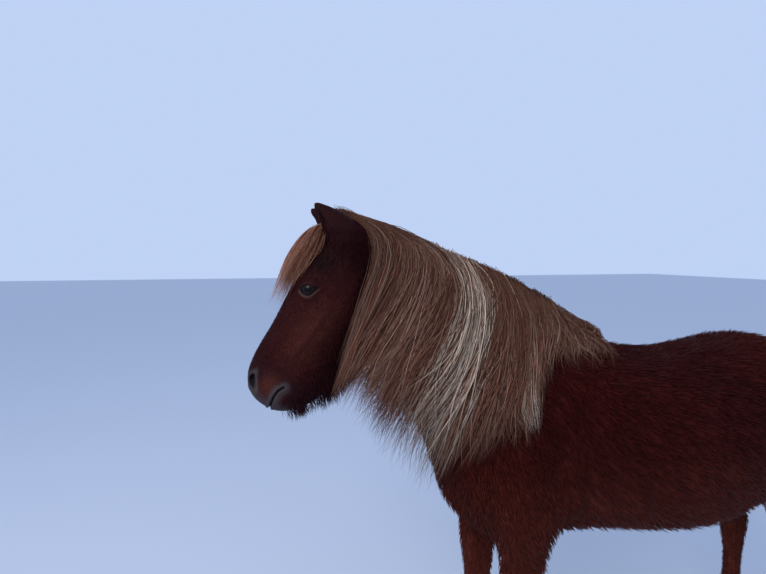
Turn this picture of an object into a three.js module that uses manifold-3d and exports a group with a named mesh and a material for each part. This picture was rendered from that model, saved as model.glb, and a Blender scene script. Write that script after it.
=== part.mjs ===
// An Icelandic horse in its winter coat, standing square with its head carried forward.
// Millimetres, +Z up. The horse faces -Y and its left side is at +X.
// The body is shaped whole and then parted with thin cuts into the pieces a person would name.

import * as THREE from 'three';
import { mergeVertices } from 'three/addons/utils/BufferGeometryUtils.js';
import Module from 'manifold-3d';

const wasm = await Module();
wasm.setup();

// Driving sizes of the animal, over the coat
const withersHeight = 1362;
const backHeight = 1295;
const croupHeight = 1335;
const bellyHeight = 690;
const chestFront = -528;
const buttock = 905;
const bellyHalfWidth = 285;
const shoulderHalfWidth = 215;
const foreLegSpread = 128;
const hindLegSpread = 132;
const kneeHeight = 400;
const hockHeight = 530;
const fetlockHeight = 192;
const coronetHeight = 78;
const hoofLength = 126;
const hoofHalfWidth = 58;
const foreLegLine = -338;
const farLegAhead = 18;
const hindHoofMiddle = 752;
const eyeRadius = 22;
const eyeFromMiddle = 78;
const maneDepth = 34;
const gap = 0.3;

// The head is drawn along its own axis, from the poll down the face
const poll = { y: -835, z: 1690 };
const faceLean = 30.5;
const leanSine = Math.sin(THREE.MathUtils.degToRad(faceLean));
const leanCosine = Math.cos(THREE.MathUtils.degToRad(faceLean));

function onHead(alongFace, behindFace) {
  const y = poll.y - alongFace * leanSine + behindFace * leanCosine;
  const z = poll.z - alongFace * leanCosine - behindFace * leanSine;
  return [y, z];
}

// A cross-section: its front or upper end and its rear or lower end, both in the plane at x,
// its half width, how far down that plane it is widest, and how square each end is
function section(x, upper, lower, halfWidth, widest = 0.5, upperPower = 2, lowerPower = 2) {
  return [x, upper[0], upper[1], lower[0], lower[1], halfWidth, widest, upperPower, lowerPower];
}

function tip(x, point) {
  return section(x, point, point, 0);
}

function spline(before, start, end, after, t) {
  const slopeIn = (end - before) / 2;
  const slopeOut = (after - start) / 2;
  const cubic = 2 * start - 2 * end + slopeIn + slopeOut;
  const square = -3 * start + 3 * end - 2 * slopeIn - slopeOut;
  return start + slopeIn * t + square * t * t + cubic * t * t * t;
}

function sectionAt(sections, share) {
  const place = share * (sections.length - 1);
  const index = Math.min(Math.floor(place), sections.length - 2);
  const last = sections.length - 1;
  const before = sections[Math.max(index - 1, 0)];
  const after = sections[Math.min(index + 2, last)];
  return sections[index].map((value, i) =>
    spline(before[i], value, sections[index + 1][i], after[i], place - index));
}

function signedPower(value, power) {
  return Math.sign(value) * Math.abs(value) ** (2 / power);
}

function pointOnSection(values, angle) {
  const [x, upperY, upperZ, lowerY, lowerZ, halfWidth, widest, upperPower, lowerPower] = values;
  const up = Math.cos(angle);
  const power = up > 0 ? upperPower : lowerPower;
  const reach = Math.abs(signedPower(up, power));
  const share = up > 0 ? widest * (1 - reach) : widest + (1 - widest) * reach;
  const side = signedPower(Math.sin(angle), power);
  return new THREE.Vector3(
    x + halfWidth * side,
    upperY + (lowerY - upperY) * share,
    upperZ + (lowerZ - upperZ) * share,
  );
}

function closedMesh(geometry) {
  geometry.deleteAttribute('normal');
  geometry.deleteAttribute('uv');
  return mergeVertices(geometry, 0.01);
}

function turnFacesOut(geometry) {
  const corners = geometry.attributes.position;
  const order = geometry.index.array;
  const [a, b, c] = [new THREE.Vector3(), new THREE.Vector3(), new THREE.Vector3()];
  let volume = 0;
  for (let i = 0; i < order.length; i += 3) {
    a.fromBufferAttribute(corners, order[i]);
    b.fromBufferAttribute(corners, order[i + 1]);
    c.fromBufferAttribute(corners, order[i + 2]);
    volume += a.dot(b.cross(c));
  }
  for (let i = 0; volume < 0 && i < order.length; i += 3) {
    [order[i + 1], order[i + 2]] = [order[i + 2], order[i + 1]];
  }
  return geometry;
}

// A body through a row of sections: a sphere whose rings are laid on them
function loft(sections, sides, rings) {
  const geometry = new THREE.SphereGeometry(1, sides, rings);
  const corners = geometry.attributes.position;
  const grid = geometry.attributes.uv;
  for (let i = 0; i < corners.count; i += 1) {
    const values = sectionAt(sections, 1 - grid.getY(i));
    const point = pointOnSection(values, 2 * Math.PI * grid.getX(i));
    corners.setXYZ(i, point.x, point.y, point.z);
  }
  return turnFacesOut(closedMesh(geometry));
}

// The same body with its surface moved outward, to cut its neighbours clear of it
function swollen(geometry, distance) {
  const larger = geometry.clone();
  larger.computeVertexNormals();
  const corners = larger.attributes.position;
  const normals = larger.attributes.normal;
  for (let i = 0; i < corners.count; i += 1) {
    corners.setXYZ(
      i,
      corners.getX(i) + distance * normals.getX(i),
      corners.getY(i) + distance * normals.getY(i),
      corners.getZ(i) + distance * normals.getZ(i),
    );
  }
  larger.deleteAttribute('normal');
  return larger;
}

function solid(geometry) {
  return new wasm.Manifold(new wasm.Mesh({
    numProp: 3,
    vertProperties: new Float32Array(geometry.attributes.position.array),
    triVerts: new Uint32Array(geometry.index.array),
  }));
}

function joined(solids) {
  return solids.reduce((whole, piece) => whole.add(piece));
}

// A box for cutting, tilted about the X axis or, for the legs, about the Y axis
function block(size, centre, tiltX = 0, tiltY = 0) {
  const geometry = new THREE.BoxGeometry(...size);
  geometry.rotateY(THREE.MathUtils.degToRad(tiltY));
  geometry.rotateX(THREE.MathUtils.degToRad(tiltX));
  geometry.translate(...centre);
  return solid(closedMesh(geometry));
}

function biggestPiece(shape) {
  const pieces = shape.decompose();
  return pieces.reduce((best, piece) => (piece.volume() > best.volume() ? piece : best));
}

// Trunk: barrel, withers, back and croup in one long body
function trunkSections() {
  const across = (y, top, bottom, halfWidth, widest, upperPower, lowerPower) =>
    section(0, [y, top], [y, bottom], halfWidth, widest, upperPower, lowerPower);
  return [
    tip(0, [chestFront, 930]),
    across(-508, 1020, 850, 105, 0.5, 2, 2),
    across(-450, 1140, 775, shoulderHalfWidth - 42, 0.5, 2, 2.2),
    across(-350, 1262, 738, shoulderHalfWidth - 10, 0.52, 1.8, 2.2),
    across(-230, 1338, 736, shoulderHalfWidth + 8, 0.55, 1.7, 2.2),
    across(-100, withersHeight, 736, shoulderHalfWidth + 25, 0.58, 1.7, 2.1),
    across(50, 1322, bellyHeight + 28, bellyHalfWidth - 15, 0.56, 1.9, 2.1),
    across(220, backHeight, bellyHeight + 6, bellyHalfWidth, 0.55, 2.1, 2.1),
    across(400, 1302, bellyHeight + 14, bellyHalfWidth - 5, 0.5, 2.2, 2.1),
    across(560, croupHeight, 765, bellyHalfWidth - 25, 0.48, 2.1, 2.1),
    across(700, 1318, 850, bellyHalfWidth - 42, 0.5, 2, 2),
    across(810, 1258, 910, bellyHalfWidth - 88, 0.5, 2, 2),
    across(878, 1180, 970, 125, 0.5, 2, 2),
    tip(0, [buttock, 1080]),
  ];
}

// Neck: each section runs from a point on the crest to one on the throat side
function neckSections() {
  const pillar = (crest, throat, halfWidth, widest) =>
    section(0, crest, throat, halfWidth, widest, 1.7, 2);
  return [
    tip(0, [-120, 1080]),
    pillar([-60, 1335], [-455, 790], 165, 0.6),
    pillar([-125, 1402], [-530, 868], 172, 0.6),
    pillar([-235, 1472], [-556, 945], 158, 0.58),
    pillar([-345, 1527], [-590, 1040], 138, 0.56),
    pillar([-460, 1575], [-630, 1140], 118, 0.54),
    pillar([-580, 1622], [-678, 1235], 104, 0.5),
    pillar([-690, 1660], [-728, 1310], 94, 0.48),
    pillar([-770, 1680], [-790, 1380], 84, 0.45),
    tip(0, [-850, 1540]),
  ];
}

// Head: forehead, cheeks, nose and jaw, with the jaw's beard in its outline
function headSections() {
  const slice = (alongFace, face, jaw, halfWidth, widest, upperPower, lowerPower) =>
    section(0, onHead(alongFace, face), onHead(alongFace, jaw), halfWidth, widest,
      upperPower, lowerPower);
  return [
    tip(0, onHead(-42, 70)),
    slice(-32, 25, 125, 52, 0.5, 2, 2),
    slice(0, -4, 195, 80, 0.4, 2.1, 2),
    slice(60, -22, 228, 97, 0.32, 2.3, 2),
    slice(125, -28, 246, 106, 0.27, 2.5, 2.1),
    slice(197, -27, 257, 101, 0.27, 2.7, 2.3),
    slice(265, -22, 256, 88, 0.3, 2.6, 2.3),
    slice(335, -19, 260, 74, 0.31, 2.4, 2.2),
    slice(400, -21, 250, 63, 0.32, 2.3, 2),
    slice(450, -16, 226, 60, 0.36, 2.4, 1.9),
    slice(485, -5, 178, 61, 0.42, 2.5, 2.1),
    slice(512, 14, 148, 55, 0.48, 2.4, 2.3),
    slice(530, 42, 126, 38, 0.5, 2.2, 2.2),
    tip(0, onHead(538, 88)),
  ];
}

// Nostril: a comma-shaped hollow that opens outward and forward on each side of the muzzle
function nostrilSections(side) {
  return [
    tip(side * 42, onHead(452, 20)),
    section(side * 50, onHead(458, 4), onHead(464, 30), 11),
    section(side * 53, onHead(474, 6), onHead(478, 38), 14),
    section(side * 51, onHead(488, 16), onHead(488, 42), 10),
    tip(side * 44, onHead(494, 32)),
  ];
}

// Mouth: the closed lips part along a thin line that rises towards the corner
function mouthLine() {
  const length = 84;
  const front = onHead(538, 87);
  const corner = onHead(458, 108);
  const rise = Math.atan2(corner[1] - front[1], corner[0] - front[0]);
  const middle = [0, (front[0] + corner[0]) / 2 - 3, (front[1] + corner[1]) / 2];
  return block([160, length, 2.4], middle, THREE.MathUtils.radToDeg(rise));
}

// Shoulder and thigh: flat ovals that round the body out above the legs
function shoulderSections(side) {
  const x = side * 118;
  return [
    tip(x, [-250, 1220]),
    section(x, [-360, 1140], [-205, 1160], 82),
    section(x, [-430, 1010], [-205, 1010], 98),
    section(x, [-455, 900], [-195, 880], 92),
    section(x, [-420, 810], [-215, 800], 72),
    tip(x, [-310, 750]),
  ];
}

function thighSections(side) {
  const x = side * 125;
  return [
    tip(x, [650, 1260]),
    section(x, [500, 1170], [800, 1180], 100),
    section(x, [470, 1020], [865, 1030], 128),
    section(x, [490, 900], [845, 900], 122),
    section(x, [545, 790], [800, 800], 92),
    tip(x, [680, 720]),
  ];
}

// Legs: level sections from inside the body down into the hoof.
// The right foreleg stands a little ahead of the left one.
function foreStep(side) {
  return side > 0 ? foreLegLine : foreLegLine - farLegAhead;
}

function legSlice(x, y, z, halfWidth, front, back) {
  return section(x, [y - front, z], [y + back, z], halfWidth, front / (front + back), 2.2, 2.2);
}

function foreLegSections(side) {
  const x = side * foreLegSpread;
  const y = foreStep(side);
  return [
    tip(x, [y + 10, 1020]),
    legSlice(x, y + 12, 940, 76, 105, 115),
    legSlice(x + side * 4, y + 18, 850, 80, 108, 116),
    legSlice(x + side * 3, y + 20, 765, 70, 98, 96),
    legSlice(x, y + 17, 690, 58, 88, 82),
    legSlice(x, y + 17, 590, 49, 68, 66),
    legSlice(x, y + 18, 480, 43, 50, 50),
    legSlice(x, y + 20, kneeHeight, 46, 52, 47),
    legSlice(x, y + 21, 340, 37, 41, 41),
    legSlice(x, y + 21, 265, 33, 34, 40),
    legSlice(x, y + 15, fetlockHeight, 39, 41, 56),
    legSlice(x, y - 1, 132, 37, 36, 54),
    legSlice(x, y - 17, 82, 45, 46, 52),
    legSlice(x, y - 21, 50, 40, 40, 40),
    tip(x, [y - 21, 35]),
  ];
}

function hindLegSections(side) {
  const x = side * hindLegSpread;
  return [
    tip(x, [660, 1060]),
    legSlice(x + side * 8, 660, 960, 92, 140, 160),
    legSlice(x + side * 8, 662, 870, 94, 138, 152),
    legSlice(x + side * 6, 676, 775, 80, 118, 124),
    legSlice(x + side * 3, 708, 680, 64, 92, 92),
    legSlice(x, 756, 595, 50, 68, 78),
    legSlice(x, 790, hockHeight, 46, 56, 70),
    legSlice(x, 800, 465, 43, 50, 50),
    legSlice(x, 803, 390, 36, 38, 41),
    legSlice(x, 803, 285, 33, 35, 40),
    legSlice(x, 799, fetlockHeight + 4, 39, 42, 56),
    legSlice(x, 782, 134, 37, 36, 54),
    legSlice(x, 765, 84, 45, 45, 52),
    legSlice(x, 760, 50, 40, 40, 40),
    tip(x, [760, 35]),
  ];
}

// Hoof: a leaning wall, broad at the ground and cut level there
function hoofSections(x, middle) {
  const half = hoofLength / 2;
  return [
    tip(x, [middle + 12, 112]),
    legSlice(x, middle + 12, 104, 40, half - 22, half - 24),
    legSlice(x, middle + 7, coronetHeight, hoofHalfWidth - 9, half - 12, half - 14),
    legSlice(x, middle + 1, 25, hoofHalfWidth - 2, half - 1, half - 5),
    legSlice(x, middle - 2, -10, hoofHalfWidth + 2, half + 5, half - 3),
    tip(x, [middle, -20]),
  ];
}

// Ear: a broad cupped cone whose hollow looks forward and outward
function earSections(side) {
  return [
    tip(side * 62, [-820, 1572]),
    section(side * 64, [-876, 1598], [-782, 1592], 36),
    section(side * 68, [-889, 1632], [-776, 1636], 38),
    section(side * 70, [-896, 1668], [-800, 1686], 33),
    section(side * 71, [-902, 1700], [-838, 1712], 23),
    section(side * 70, [-911, 1722], [-876, 1728], 12),
    tip(side * 69, [-906, 1738]),
  ];
}

function earHollowSections(side) {
  return [
    tip(side * 66, [-880, 1622]),
    section(side * 70, [-918, 1636], [-856, 1640], 17),
    section(side * 73, [-922, 1662], [-852, 1672], 19),
    section(side * 75, [-926, 1690], [-868, 1700], 13),
    tip(side * 74, [-912, 1722]),
  ];
}

// Tail: a short dock inside a long full fall of hair
function tailSections() {
  const lock = (y, z, halfWidth, front, back) => legSlice(0, y, z, halfWidth, front, back);
  return [
    tip(0, [836, 1222]),
    section(0, [884, 1236], [862, 1170], 28),
    lock(920, 1160, 52, 36, 36),
    lock(943, 1080, 76, 46, 44),
    lock(953, 900, 96, 54, 54),
    lock(952, 700, 102, 56, 56),
    lock(946, 500, 96, 52, 52),
    lock(940, 340, 72, 42, 42),
    lock(936, 255, 38, 26, 26),
    tip(0, [934, 205]),
  ];
}

// Mane: the outline of its fall on the left side, seen square from that side
function maneOutline() {
  const edge = new THREE.Shape();
  edge.moveTo(-790, 1708);
  edge.splineThru([
    new THREE.Vector2(-600, 1655),
    new THREE.Vector2(-425, 1592),
    new THREE.Vector2(-275, 1527),
    new THREE.Vector2(-130, 1437),
    new THREE.Vector2(-5, 1362),
  ]);
  edge.lineTo(-130, 1278);
  edge.lineTo(-300, 1275);
  edge.splineThru([
    new THREE.Vector2(-345, 1125),
    new THREE.Vector2(-460, 1040),
    new THREE.Vector2(-610, 955),
    new THREE.Vector2(-672, 1075),
    new THREE.Vector2(-765, 1235),
  ]);
  edge.splineThru([
    new THREE.Vector2(-845, 1280),
    new THREE.Vector2(-850, 1380),
    new THREE.Vector2(-818, 1560),
    new THREE.Vector2(-790, 1708),
  ]);
  return edge;
}

// Forelock: a lock that leaves the poll between the ears and hangs ahead of the forehead
function forelockSections() {
  return [
    tip(0, [-812, 1690]),
    section(0, [-862, 1716], [-846, 1668], 38),
    section(0, [-912, 1690], [-885, 1640], 48),
    section(0, [-957, 1640], [-915, 1595], 52),
    section(0, [-992, 1572], [-945, 1535], 50),
    section(0, [-1012, 1515], [-972, 1497], 36),
    tip(0, [-1008, 1478]),
  ];
}

// An outline in the Y-Z plane made thick along X, from one x to another
function slab(outline, fromX, toX, steps) {
  const geometry = new THREE.ExtrudeGeometry(outline, {
    depth: toX - fromX,
    bevelEnabled: false,
    curveSegments: steps,
  });
  const axes = new THREE.Matrix4().set(0, 0, 1, fromX, 1, 0, 0, 0, 0, 1, 0, 0, 0, 0, 0, 1);
  geometry.applyMatrix4(axes);
  return solid(turnFacesOut(closedMesh(geometry)));
}

// The bare forms of the whole body
const bodyForms = [
  loft(trunkSections(), 20, 20),
  loft(neckSections(), 16, 11),
  loft(headSections(), 20, 22),
];
for (const side of [-1, 1]) {
  bodyForms.push(loft(shoulderSections(side), 10, 7));
  bodyForms.push(loft(thighSections(side), 10, 7));
  bodyForms.push(loft(foreLegSections(side), 10, 19));
  bodyForms.push(loft(hindLegSections(side), 10, 19));
}
const flesh = joined(bodyForms.map(solid));
const fleshWithGap = joined(bodyForms.map((form) => solid(swollen(form, 2 * gap))));

// Blocks that part the body, each given twice: exact, and larger by the gap
const reach = 2000;

function parting(size, centre, tiltX, tiltY) {
  const larger = size.map((length) => length + 2 * gap);
  return {
    exact: block(size, centre, tiltX, tiltY),
    larger: block(larger, centre, tiltX, tiltY),
  };
}

function behindPlane(point, tilt) {
  const angle = THREE.MathUtils.degToRad(tilt);
  const y = point[0] - Math.cos(angle) * reach / 2;
  const z = point[1] - Math.sin(angle) * reach / 2;
  return parting([reach, reach, reach], [0, y, z], tilt, 0);
}

const headCut = behindPlane([-752, 1500], -5);
const neckCut = behindPlane([-345, 1155], -41);

function legCut(side, middle, length, innerX, height) {
  const tilt = side * 42;
  const thickness = 1200;
  const angle = THREE.MathUtils.degToRad(42);
  const x = side * (innerX + Math.sin(angle) * thickness / 2);
  const z = height - Math.cos(angle) * thickness / 2;
  return parting([1600, length, thickness], [x, middle, z], 0, -tilt);
}

function coronetCut(middle) {
  return parting([900, 400, 200], [0, middle, coronetHeight - 112], -14, 0);
}

const sideNames = new Map([[1, 'left'], [-1, 'right']]);
const halves = new Map([
  [1, block([1000, 4000, 4000], [500, 0, 0])],
  [-1, block([1000, 4000, 4000], [-500, 0, 0])],
]);
const legRows = [
  { name: 'fore', middle: -360, length: 440, innerX: 26, height: 735 },
  { name: 'hind', middle: 690, length: 420, innerX: 26, height: 790 },
];

// Colours of the dark chestnut coat, the flaxen hair, the horn and the eye
function finish(color, roughness) {
  return new THREE.MeshStandardMaterial({ color, roughness, metalness: 0 });
}
const coatFinish = finish(0x4a2118, 0.75);
const maneFinish = finish(0xa8805f, 0.7);
const hoofFinish = finish(0x3a322c, 0.6);
const eyeFinish = finish(0x120c0a, 0.12);

const group = new THREE.Group();

function addPart(name, shape, material) {
  const whole = biggestPiece(shape);
  const { vertProperties, triVerts } = whole.getMesh();
  const geometry = new THREE.BufferGeometry();
  geometry.setAttribute('position', new THREE.BufferAttribute(vertProperties, 3));
  geometry.setIndex(new THREE.BufferAttribute(triVerts, 1));
  geometry.computeVertexNormals();
  const mesh = new THREE.Mesh(geometry, material);
  mesh.name = name;
  group.add(mesh);
  return whole;
}

// Eyes: balls set deep behind the brow, a little forward and outward
const eyeMiddle = onHead(198, 20);

function eyeball(side, radius) {
  const ball = new THREE.SphereGeometry(radius, 12, 8);
  ball.translate(side * eyeFromMiddle, eyeMiddle[0], eyeMiddle[1]);
  return solid(closedMesh(ball));
}

// Ears
const ears = [];
for (const side of [1, -1]) {
  const ear = solid(loft(earSections(side), 10, 8));
  const hollow = solid(loft(earHollowSections(side), 8, 6));
  ears.push(addPart(`ear_${sideNames.get(side)}`, ear.subtract(hollow).subtract(fleshWithGap),
    coatFinish));
}
const earsWithGap = joined([1, -1].map((side) =>
  solid(swollen(loft(earSections(side), 10, 8), 2 * gap))));

// Head and eyes
const sockets = joined([1, -1].map((side) => eyeball(side, eyeRadius + 2 * gap)));
const nostrils = joined([1, -1].map((side) => solid(loft(nostrilSections(side), 8, 6))));
const head = flesh.intersect(headCut.exact).subtract(sockets).subtract(nostrils);
addPart('head', head.subtract(mouthLine()), coatFinish);
for (const side of [1, -1]) {
  addPart(`eye_${sideNames.get(side)}`, eyeball(side, eyeRadius), eyeFinish);
}

// Neck
addPart('neck', flesh.intersect(neckCut.exact).subtract(headCut.larger), coatFinish);

// Legs and hooves, and what is left of the body as the trunk
let trunk = flesh.subtract(headCut.larger).subtract(neckCut.larger);
for (const row of legRows) {
  for (const side of [1, -1]) {
    const isFore = row.name === 'fore';
    const hoofMiddle = isFore ? foreStep(side) - 27 : hindHoofMiddle;
    const coronet = coronetCut(hoofMiddle);
    const cut = legCut(side, row.middle, row.length, row.innerX, row.height);
    const leg = flesh.intersect(cut.exact).intersect(halves.get(side)).subtract(neckCut.larger);
    addPart(`${row.name}_leg_${sideNames.get(side)}`, leg.subtract(coronet.larger), coatFinish);
    trunk = trunk.subtract(cut.larger.intersect(halves.get(side)));
    const x = side * (isFore ? foreLegSpread : hindLegSpread);
    const hoof = solid(loft(hoofSections(x, hoofMiddle), 14, 7));
    const ground = block([1000, 1000, 400], [x, hoofMiddle, -200]);
    addPart(`${row.name}_hoof_${sideNames.get(side)}`,
      hoof.intersect(coronet.exact).subtract(ground), hoofFinish);
  }
}
addPart('trunk', trunk, coatFinish);

// Tail
addPart('tail', solid(loft(tailSections(), 12, 13)).subtract(fleshWithGap), maneFinish);

// Mane: a cover as deep as its hair over the left of the neck, and a low ridge over the crest
const aheadOfThroat = loft(neckSections(), 16, 11).translate(0, -34, -4);
const coverForms = [bodyForms[0], bodyForms[1], bodyForms[2], aheadOfThroat,
  loft(shoulderSections(1), 10, 7)];
const cover = joined(coverForms.map((form) => solid(swollen(form, maneDepth))));
const curtain = cover.intersect(slab(maneOutline(), 52, 320, 4));
const ridge = cover.intersect(slab(maneOutline(), -24, 60, 4))
  .subtract(block([400, 2000, 2000], [0, -760, 460], -24.5));
const mane = curtain.add(ridge).subtract(fleshWithGap).subtract(earsWithGap);
const forelockWithGap = solid(swollen(loft(forelockSections(), 10, 9), 2 * gap));
addPart('mane', mane.subtract(forelockWithGap), maneFinish);

// Forelock
const forelock = solid(loft(forelockSections(), 10, 9));
addPart('forelock', forelock.subtract(fleshWithGap).subtract(earsWithGap), maneFinish);

// The origin is on the ground in the middle of the animal's length and width
const extent = new THREE.Box3().setFromObject(group);
const middle = extent.getCenter(new THREE.Vector3());
group.position.set(-middle.x, -middle.y, -extent.min.z);

export default group;
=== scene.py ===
# An Icelandic horse in winter coat, as a still, life-size model.
# It is put together from the skin outwards: skin, eyes, hooves, short coat, long hair.

import math

import bmesh
import bpy
import numpy as np
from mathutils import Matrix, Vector
from mathutils.bvhtree import BVHTree


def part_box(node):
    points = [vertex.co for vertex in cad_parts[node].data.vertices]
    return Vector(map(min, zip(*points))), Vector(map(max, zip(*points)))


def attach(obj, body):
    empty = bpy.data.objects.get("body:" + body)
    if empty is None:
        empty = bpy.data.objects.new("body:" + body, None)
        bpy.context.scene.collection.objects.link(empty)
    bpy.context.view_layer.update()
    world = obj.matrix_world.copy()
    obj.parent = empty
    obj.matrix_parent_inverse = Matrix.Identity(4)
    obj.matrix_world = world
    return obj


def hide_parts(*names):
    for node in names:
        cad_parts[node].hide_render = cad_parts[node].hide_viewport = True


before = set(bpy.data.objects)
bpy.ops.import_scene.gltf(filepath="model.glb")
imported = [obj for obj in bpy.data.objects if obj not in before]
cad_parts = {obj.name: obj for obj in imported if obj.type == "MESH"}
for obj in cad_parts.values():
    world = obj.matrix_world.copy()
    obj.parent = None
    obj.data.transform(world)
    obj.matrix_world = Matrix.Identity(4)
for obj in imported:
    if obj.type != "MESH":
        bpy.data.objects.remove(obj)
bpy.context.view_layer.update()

# The camera stands level with the head, on the animal's left, and looks slightly down and back.
# Its wide lens and its height come from the photograph's horizon and from the size of the head.
PHOTO_WIDTH = 766
FOCAL_PIXELS = 431.0
CAMERA_TURN = math.radians(13.0)
CAMERA_PITCH = math.radians(4.2)

left_eye_low, left_eye_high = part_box("eye_left")
left_eye = np.array((left_eye_low + left_eye_high) / 2)
CAMERA_FROM_EYE = np.array([1.119, -0.066, 0.087])

camera_data = bpy.data.cameras.new("photo_camera")
camera = bpy.data.objects.new("photo_camera", camera_data)
bpy.context.scene.collection.objects.link(camera)
bpy.context.scene.camera = camera
camera_data.sensor_width = 36.0
camera_data.lens = FOCAL_PIXELS * camera_data.sensor_width / PHOTO_WIDTH
camera_data.clip_start = 0.05
camera.location = Vector(left_eye + CAMERA_FROM_EYE)
look = Vector((
    -math.cos(CAMERA_TURN) * math.cos(CAMERA_PITCH),
    math.sin(CAMERA_TURN) * math.cos(CAMERA_PITCH),
    -math.sin(CAMERA_PITCH),
))
camera.rotation_mode = "QUATERNION"
camera.rotation_quaternion = look.to_track_quat("-Z", "Y")


# The skin is one closed surface over head, neck, trunk, ears and legs, without a seam.
# It is laid over the solid body, smoothed, and moved in by the depth of the coat that
# stands on it. The folds of the head are then shaped into it.
FLESH = [
    "head", "neck", "trunk", "ear_left", "ear_right",
    "fore_leg_left", "fore_leg_right", "hind_leg_left", "hind_leg_right",
]
FACE_LEAN = math.radians(30.5)
EYE_ALONG_FACE = 0.198
EYE_BEHIND_FACE = 0.020
POLL_TO_MIDDLE = 0.835
FULL_TURN = 6.283
SKIN_STEP = 0.0046
JOIN_OVERLAP = 0.0012
EAR_OVERLAP = 0.0018
BODY_ROUNDS = 110
EAR_ROUNDS = 8
BODY_COAT = 0.015
BELLY_COAT = 0.006
LEG_COAT = 0.0075
FACE_COAT = 0.0055
EAR_COAT = 0.0012
JAW_COAT = 0.026
MOVES = 6
PLAIN_SKIN_KEPT = 0.17


def step_up(value, start, end):
    share = np.clip((value - start) / (end - start), 0.0, 1.0)
    return share * share * (3 - 2 * share)


def hill(distance, width):
    return np.exp(-(distance / width) ** 2)


poll_y = left_eye[1] + EYE_ALONG_FACE * math.sin(FACE_LEAN) - EYE_BEHIND_FACE * math.cos(FACE_LEAN)
poll_z = left_eye[2] + EYE_ALONG_FACE * math.cos(FACE_LEAN) + EYE_BEHIND_FACE * math.sin(FACE_LEAN)
CAD_SHIFT = poll_y + POLL_TO_MIDDLE


def along_face(points):
    return -(points[:, 1] - poll_y) * math.sin(FACE_LEAN) - (points[:, 2] - poll_z) * math.cos(FACE_LEAN)


def behind_face(points):
    return (points[:, 1] - poll_y) * math.cos(FACE_LEAN) - (points[:, 2] - poll_z) * math.sin(FACE_LEAN)


def object_from(name, points, faces):
    mesh = bpy.data.meshes.new(name)
    mesh.from_pydata(points, [], faces)
    mesh.update()
    made = bpy.data.objects.new(name, mesh)
    bpy.context.scene.collection.objects.link(made)
    return made


def mesh_points(mesh):
    points = np.zeros(len(mesh.vertices) * 3)
    mesh.vertices.foreach_get("co", points)
    return points.reshape(-1, 3)


def mesh_normals(mesh):
    normals = np.zeros(len(mesh.vertices) * 3)
    mesh.vertex_normals.foreach_get("vector", normals)
    return normals.reshape(-1, 3)


def set_points(mesh, points):
    mesh.vertices.foreach_set("co", np.asarray(points, float).ravel())
    mesh.update()


def with_modifiers_applied(piece):
    graph = bpy.context.evaluated_depsgraph_get()
    fresh = bpy.data.meshes.new_from_object(piece.evaluated_get(graph))
    piece.modifiers.clear()
    old = piece.data
    piece.data = fresh
    bpy.data.meshes.remove(old)
    return fresh


def smooth(mesh, rounds, weight):
    edges = np.zeros(len(mesh.edges) * 2, dtype=np.int64)
    mesh.edges.foreach_get("vertices", edges)
    start, end = edges.reshape(-1, 2).T
    points = mesh_points(mesh)
    count = len(points)
    neighbours = np.bincount(start, minlength=count) + np.bincount(end, minlength=count)
    neighbours = np.maximum(neighbours, 1)[:, None]
    for turn in range(rounds):
        total = np.zeros_like(points)
        for axis in range(3):
            total[:, axis] = np.bincount(start, points[end, axis], count)
            total[:, axis] += np.bincount(end, points[start, axis], count)
        points += (total / neighbours - points) * 0.5 * weight[:, None]
    set_points(mesh, points)


def regions(points):
    y = points[:, 1] - CAD_SHIFT
    z = points[:, 2]
    on_head = 1 - step_up(y, -0.79, -0.71)
    on_leg = 1 - step_up(z, 0.52, 0.72)
    on_ear = on_head * step_up(z, 1.640, 1.665) * step_up(abs(points[:, 0]), 0.030, 0.042)
    return on_head, on_leg, on_ear


skin_mesh = bpy.data.meshes.new("skin")
body_form = bmesh.new()
for node_name in FLESH + ["eye_left", "eye_right"]:
    part = bmesh.new()
    part.from_mesh(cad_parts[node_name].data)
    bmesh.ops.remove_doubles(part, verts=part.verts, dist=0.00001)
    part.normal_update()
    for vert in part.verts:
        vert.co += vert.normal * (EAR_OVERLAP if "ear" in node_name else JOIN_OVERLAP)
    part.to_mesh(skin_mesh)
    part.free()
    body_form.from_mesh(skin_mesh)
body_form.to_mesh(skin_mesh)
body_form.free()
skin = bpy.data.objects.new("skin", skin_mesh)
bpy.context.scene.collection.objects.link(skin)
cover = skin.modifiers.new("cover", "REMESH")
cover.mode = "VOXEL"
cover.voxel_size = SKIN_STEP
skin_mesh = with_modifiers_applied(skin)

# Soften the facets of the solid, most of all on the big body, least on legs, head and ears
on_head, on_leg, on_ear = regions(mesh_points(skin_mesh))
ease = 1 - 0.90 * np.maximum(on_head, on_leg)
smooth(skin_mesh, BODY_ROUNDS, ease)
smooth(skin_mesh, EAR_ROUNDS, 0.5 * on_ear)


def coat_depth(points):
    z = points[:, 2]
    head, leg, ear = regions(points)
    along = along_face(points)
    depth = BODY_COAT + BELLY_COAT * (1 - step_up(z, 0.72, 0.86)) * step_up(z, 0.64, 0.70)
    depth = depth * (1 - leg) + LEG_COAT * leg
    face = FACE_COAT + 0.004 * (1 - step_up(along, 0.05, 0.25)) - 0.003 * step_up(along, 0.40, 0.48)
    depth = depth * (1 - head) + face * head
    return depth * (1 - ear) + EAR_COAT * ear


def jaw_hair(points):
    along = along_face(points)
    behind = behind_face(points)
    share = step_up(behind, 0.10, 0.23) * step_up(along, 0.00, 0.14)
    share *= 1 - step_up(along, 0.44, 0.51)
    return JAW_COAT * share * regions(points)[0]


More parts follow.
